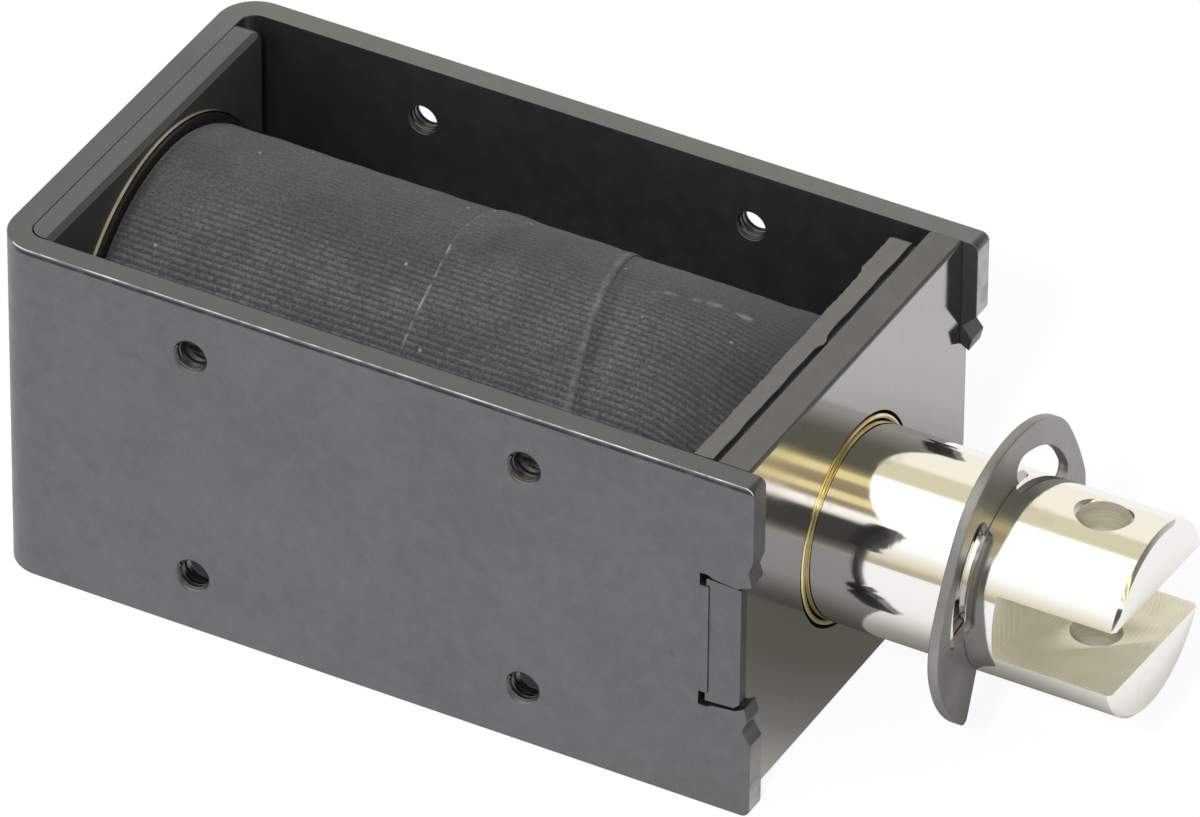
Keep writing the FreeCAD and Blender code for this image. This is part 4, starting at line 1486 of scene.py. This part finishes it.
@dataclass
class Studio:
    """Camera, soft light and a plain pale floor."""

    azimuth: float = 28.4402
    elevation: float = 36.2084
    roll: float = 0.5394
    aim: tuple[float, float, float] = (-4.1355 * MM, 2.9449 * MM, 15.0 * MM)
    distance: float = 1056.261 * MM
    sensor: float = 36.0
    lens: float = 423.6353
    clip: tuple[float, float] = (0.05, 20.0)
    floor_radius: float = 1.6
    floor_white: float = 0.86
    floor_lift: float = 0.82
    floor_glow: float = 1.08
    floor_below: float = 0.02 * MM
    painted_frame_shadow: float = 0.035
    twice_seen_shade: float = 0.58
    shade_at: tuple[float, float] = (25.0 * MM, 8.0 * MM)
    sky: float = 0.6
    lamp_power: float = 5.9
    lamp_size: float = 0.12
    lamp_place: tuple[float, float, float] = (0.25, -0.85, 0.74)

    def make(self) -> None:
        """Set up the camera, the lights, the world and the floor."""
        scene = bpy.context.scene
        scene.view_settings.view_transform = "Standard"
        self.camera(scene)
        self.world(scene)
        self.floor()
        self.lamp(scene)

    def camera(self, scene: bpy.types.Scene) -> None:
        """The camera at the photograph's place."""
        data = bpy.data.cameras.new("view_camera")
        data.sensor_width = self.sensor
        data.sensor_fit = "HORIZONTAL"
        data.lens = self.lens
        data.clip_start, data.clip_end = self.clip
        item = bpy.data.objects.new("view_camera", data)
        scene.collection.objects.link(item)
        across, over = math.radians(self.azimuth), math.radians(self.elevation)
        back = Vector((math.sin(across) * math.cos(over), -math.cos(across) * math.cos(over), math.sin(over)))
        item.location = Vector(self.aim) + back * self.distance
        turn = (-back).to_track_quat("-Z", "Y").to_matrix().to_4x4()
        rolled = turn @ Matrix.Rotation(math.radians(self.roll), 4, "Z")
        item.rotation_euler = rolled.to_euler()
        scene.camera = item

    def world(self, scene: bpy.types.Scene) -> None:
        """A soft white room, in which polished metal sees the window, the shelf and the wall beyond."""
        world = bpy.data.worlds.new("studio_world")
        world.use_nodes = True
        scene.world = world
        sheet = NodeSheet(world.node_tree)
        along, across, up = sheet.split(sheet.out("ShaderNodeTexCoord", "Generated"))
        angle = up.math("ARCTAN2", across * -1.0) * (180.0 / math.pi)
        room = along.ramp(-0.1, 0.1).mix(angle.bands(BANDS_BEHIND), angle.bands(BANDS_AHEAD))
        mirrored = sheet.out("ShaderNodeBackground", Color=room, Strength=1.0)
        soft = sheet.out("ShaderNodeBackground", Color=grey(1.0), Strength=self.sky)
        plain = sheet.out("ShaderNodeBackground", Color=grey(1.0), Strength=1.0)
        lit = sheet.blend(sheet.out("ShaderNodeLightPath", "Is Glossy Ray"), soft, mirrored)
        seen = sheet.out("ShaderNodeLightPath", "Is Camera Ray")
        sheet.add("ShaderNodeOutputWorld", Surface=sheet.blend(seen, lit, plain))

    def floor(self) -> None:
        """A wide white floor at the object's lower edge, which keeps the soft shadow, with a painted shadow where
        metal sees it and another inside the frame where the camera sees it.
        """
        rim = 96
        turns = [math.tau * step / rim for step in range(rim)]
        wide = self.floor_radius
        points = [(0.0, 0.0, 0.0)] + [(wide * math.cos(turn), wide * math.sin(turn), 0.0) for turn in turns]
        faces = [(0, 1 + step, 1 + (step + 1) % rim) for step in range(rim)]
        item = mesh_from("studio_floor", points, faces)
        sheet = ShaderSheet("studio_floor_finish")
        matt = sheet.out("ShaderNodeBsdfDiffuse", Color=grey(self.floor_white))
        white = sheet.out("ShaderNodeEmission", Color=grey(1.0), Strength=self.floor_glow)
        along, across, _ = sheet.place()
        # Polished metal sees the floor as painted colours: a painted shadow about shade_at, paler further out.
        shade = sheet.length(along - self.shade_at[0], across - self.shade_at[1])
        tones = shade.bands(FLOOR_BANDS)
        once, twice = (
            sheet.out("ShaderNodeEmission", Color=tones, Strength=power) for power in (1.0, self.twice_seen_shade)
        )
        # Painted shade: the floor is darker still where metal sees it in a second reflection.
        again = sheet.out("ShaderNodeLightPath", "Glossy Depth").math("GREATER_THAN", 1.5)
        mirrored = sheet.blend(again, once, twice)
        glossy = sheet.blend(sheet.out("ShaderNodeLightPath", "Is Glossy Ray"), matt, mirrored)
        # A painted shadow on the floor inside the open frame, for the camera.
        dark = sheet.out("ShaderNodeEmission", Color=grey(self.painted_frame_shadow, -0.1), Strength=1.0)
        covered = sheet.blend(self.covered(sheet), sheet.blend(self.floor_lift, matt, white), dark)
        seen = sheet.out("ShaderNodeLightPath", "Is Camera Ray")
        sheet.fill(sheet.output, Surface=sheet.blend(seen, glossy, covered))
        item.data.materials.append(sheet.material)
        item.location.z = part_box("frame_yoke")[0].z - self.floor_below

    def covered(self, sheet: ShaderSheet) -> Signal:
        """Where the floor lies inside the open frame, out of the light."""
        low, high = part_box("frame_yoke")
        along, across, _ = sheet.place()
        beside = across.math("ABSOLUTE").ramp(high.y - 2.5 * MM, high.y - 1.5 * MM, 1.0, 0.0)
        behind = along.ramp(low.x + 1.5 * MM, low.x + 2.5 * MM)
        return beside * (behind * along.ramp(high.x - 3.5 * MM, high.x - 2.5 * MM, 1.0, 0.0))

    def lamp(self, scene: bpy.types.Scene) -> None:
        """A square soft lamp that looks at the object."""
        data = bpy.data.lights.new("soft_window", "AREA")
        data.energy = self.lamp_power
        data.size = self.lamp_size
        item = bpy.data.objects.new("soft_window", data)
        item.location = self.lamp_place
        item.rotation_euler = (-Vector(self.lamp_place)).to_track_quat("-Z", "Y").to_euler()
        item.visible_glossy = False
        scene.collection.objects.link(item)


def main() -> None:
    """Build the studio and every sub-assembly, in order."""
    logging.basicConfig(level=logging.INFO, format="%(name)s %(message)s")
    builders: tuple[Callable[[], None], ...] = (
        Studio().make,
        SteelFrame().make,
        TapedCoil().make,
        PlatedPlunger().make,
        RetainingRing().make,
    )
    for build in builders:
        build()


if __name__ == "__main__":
    main()
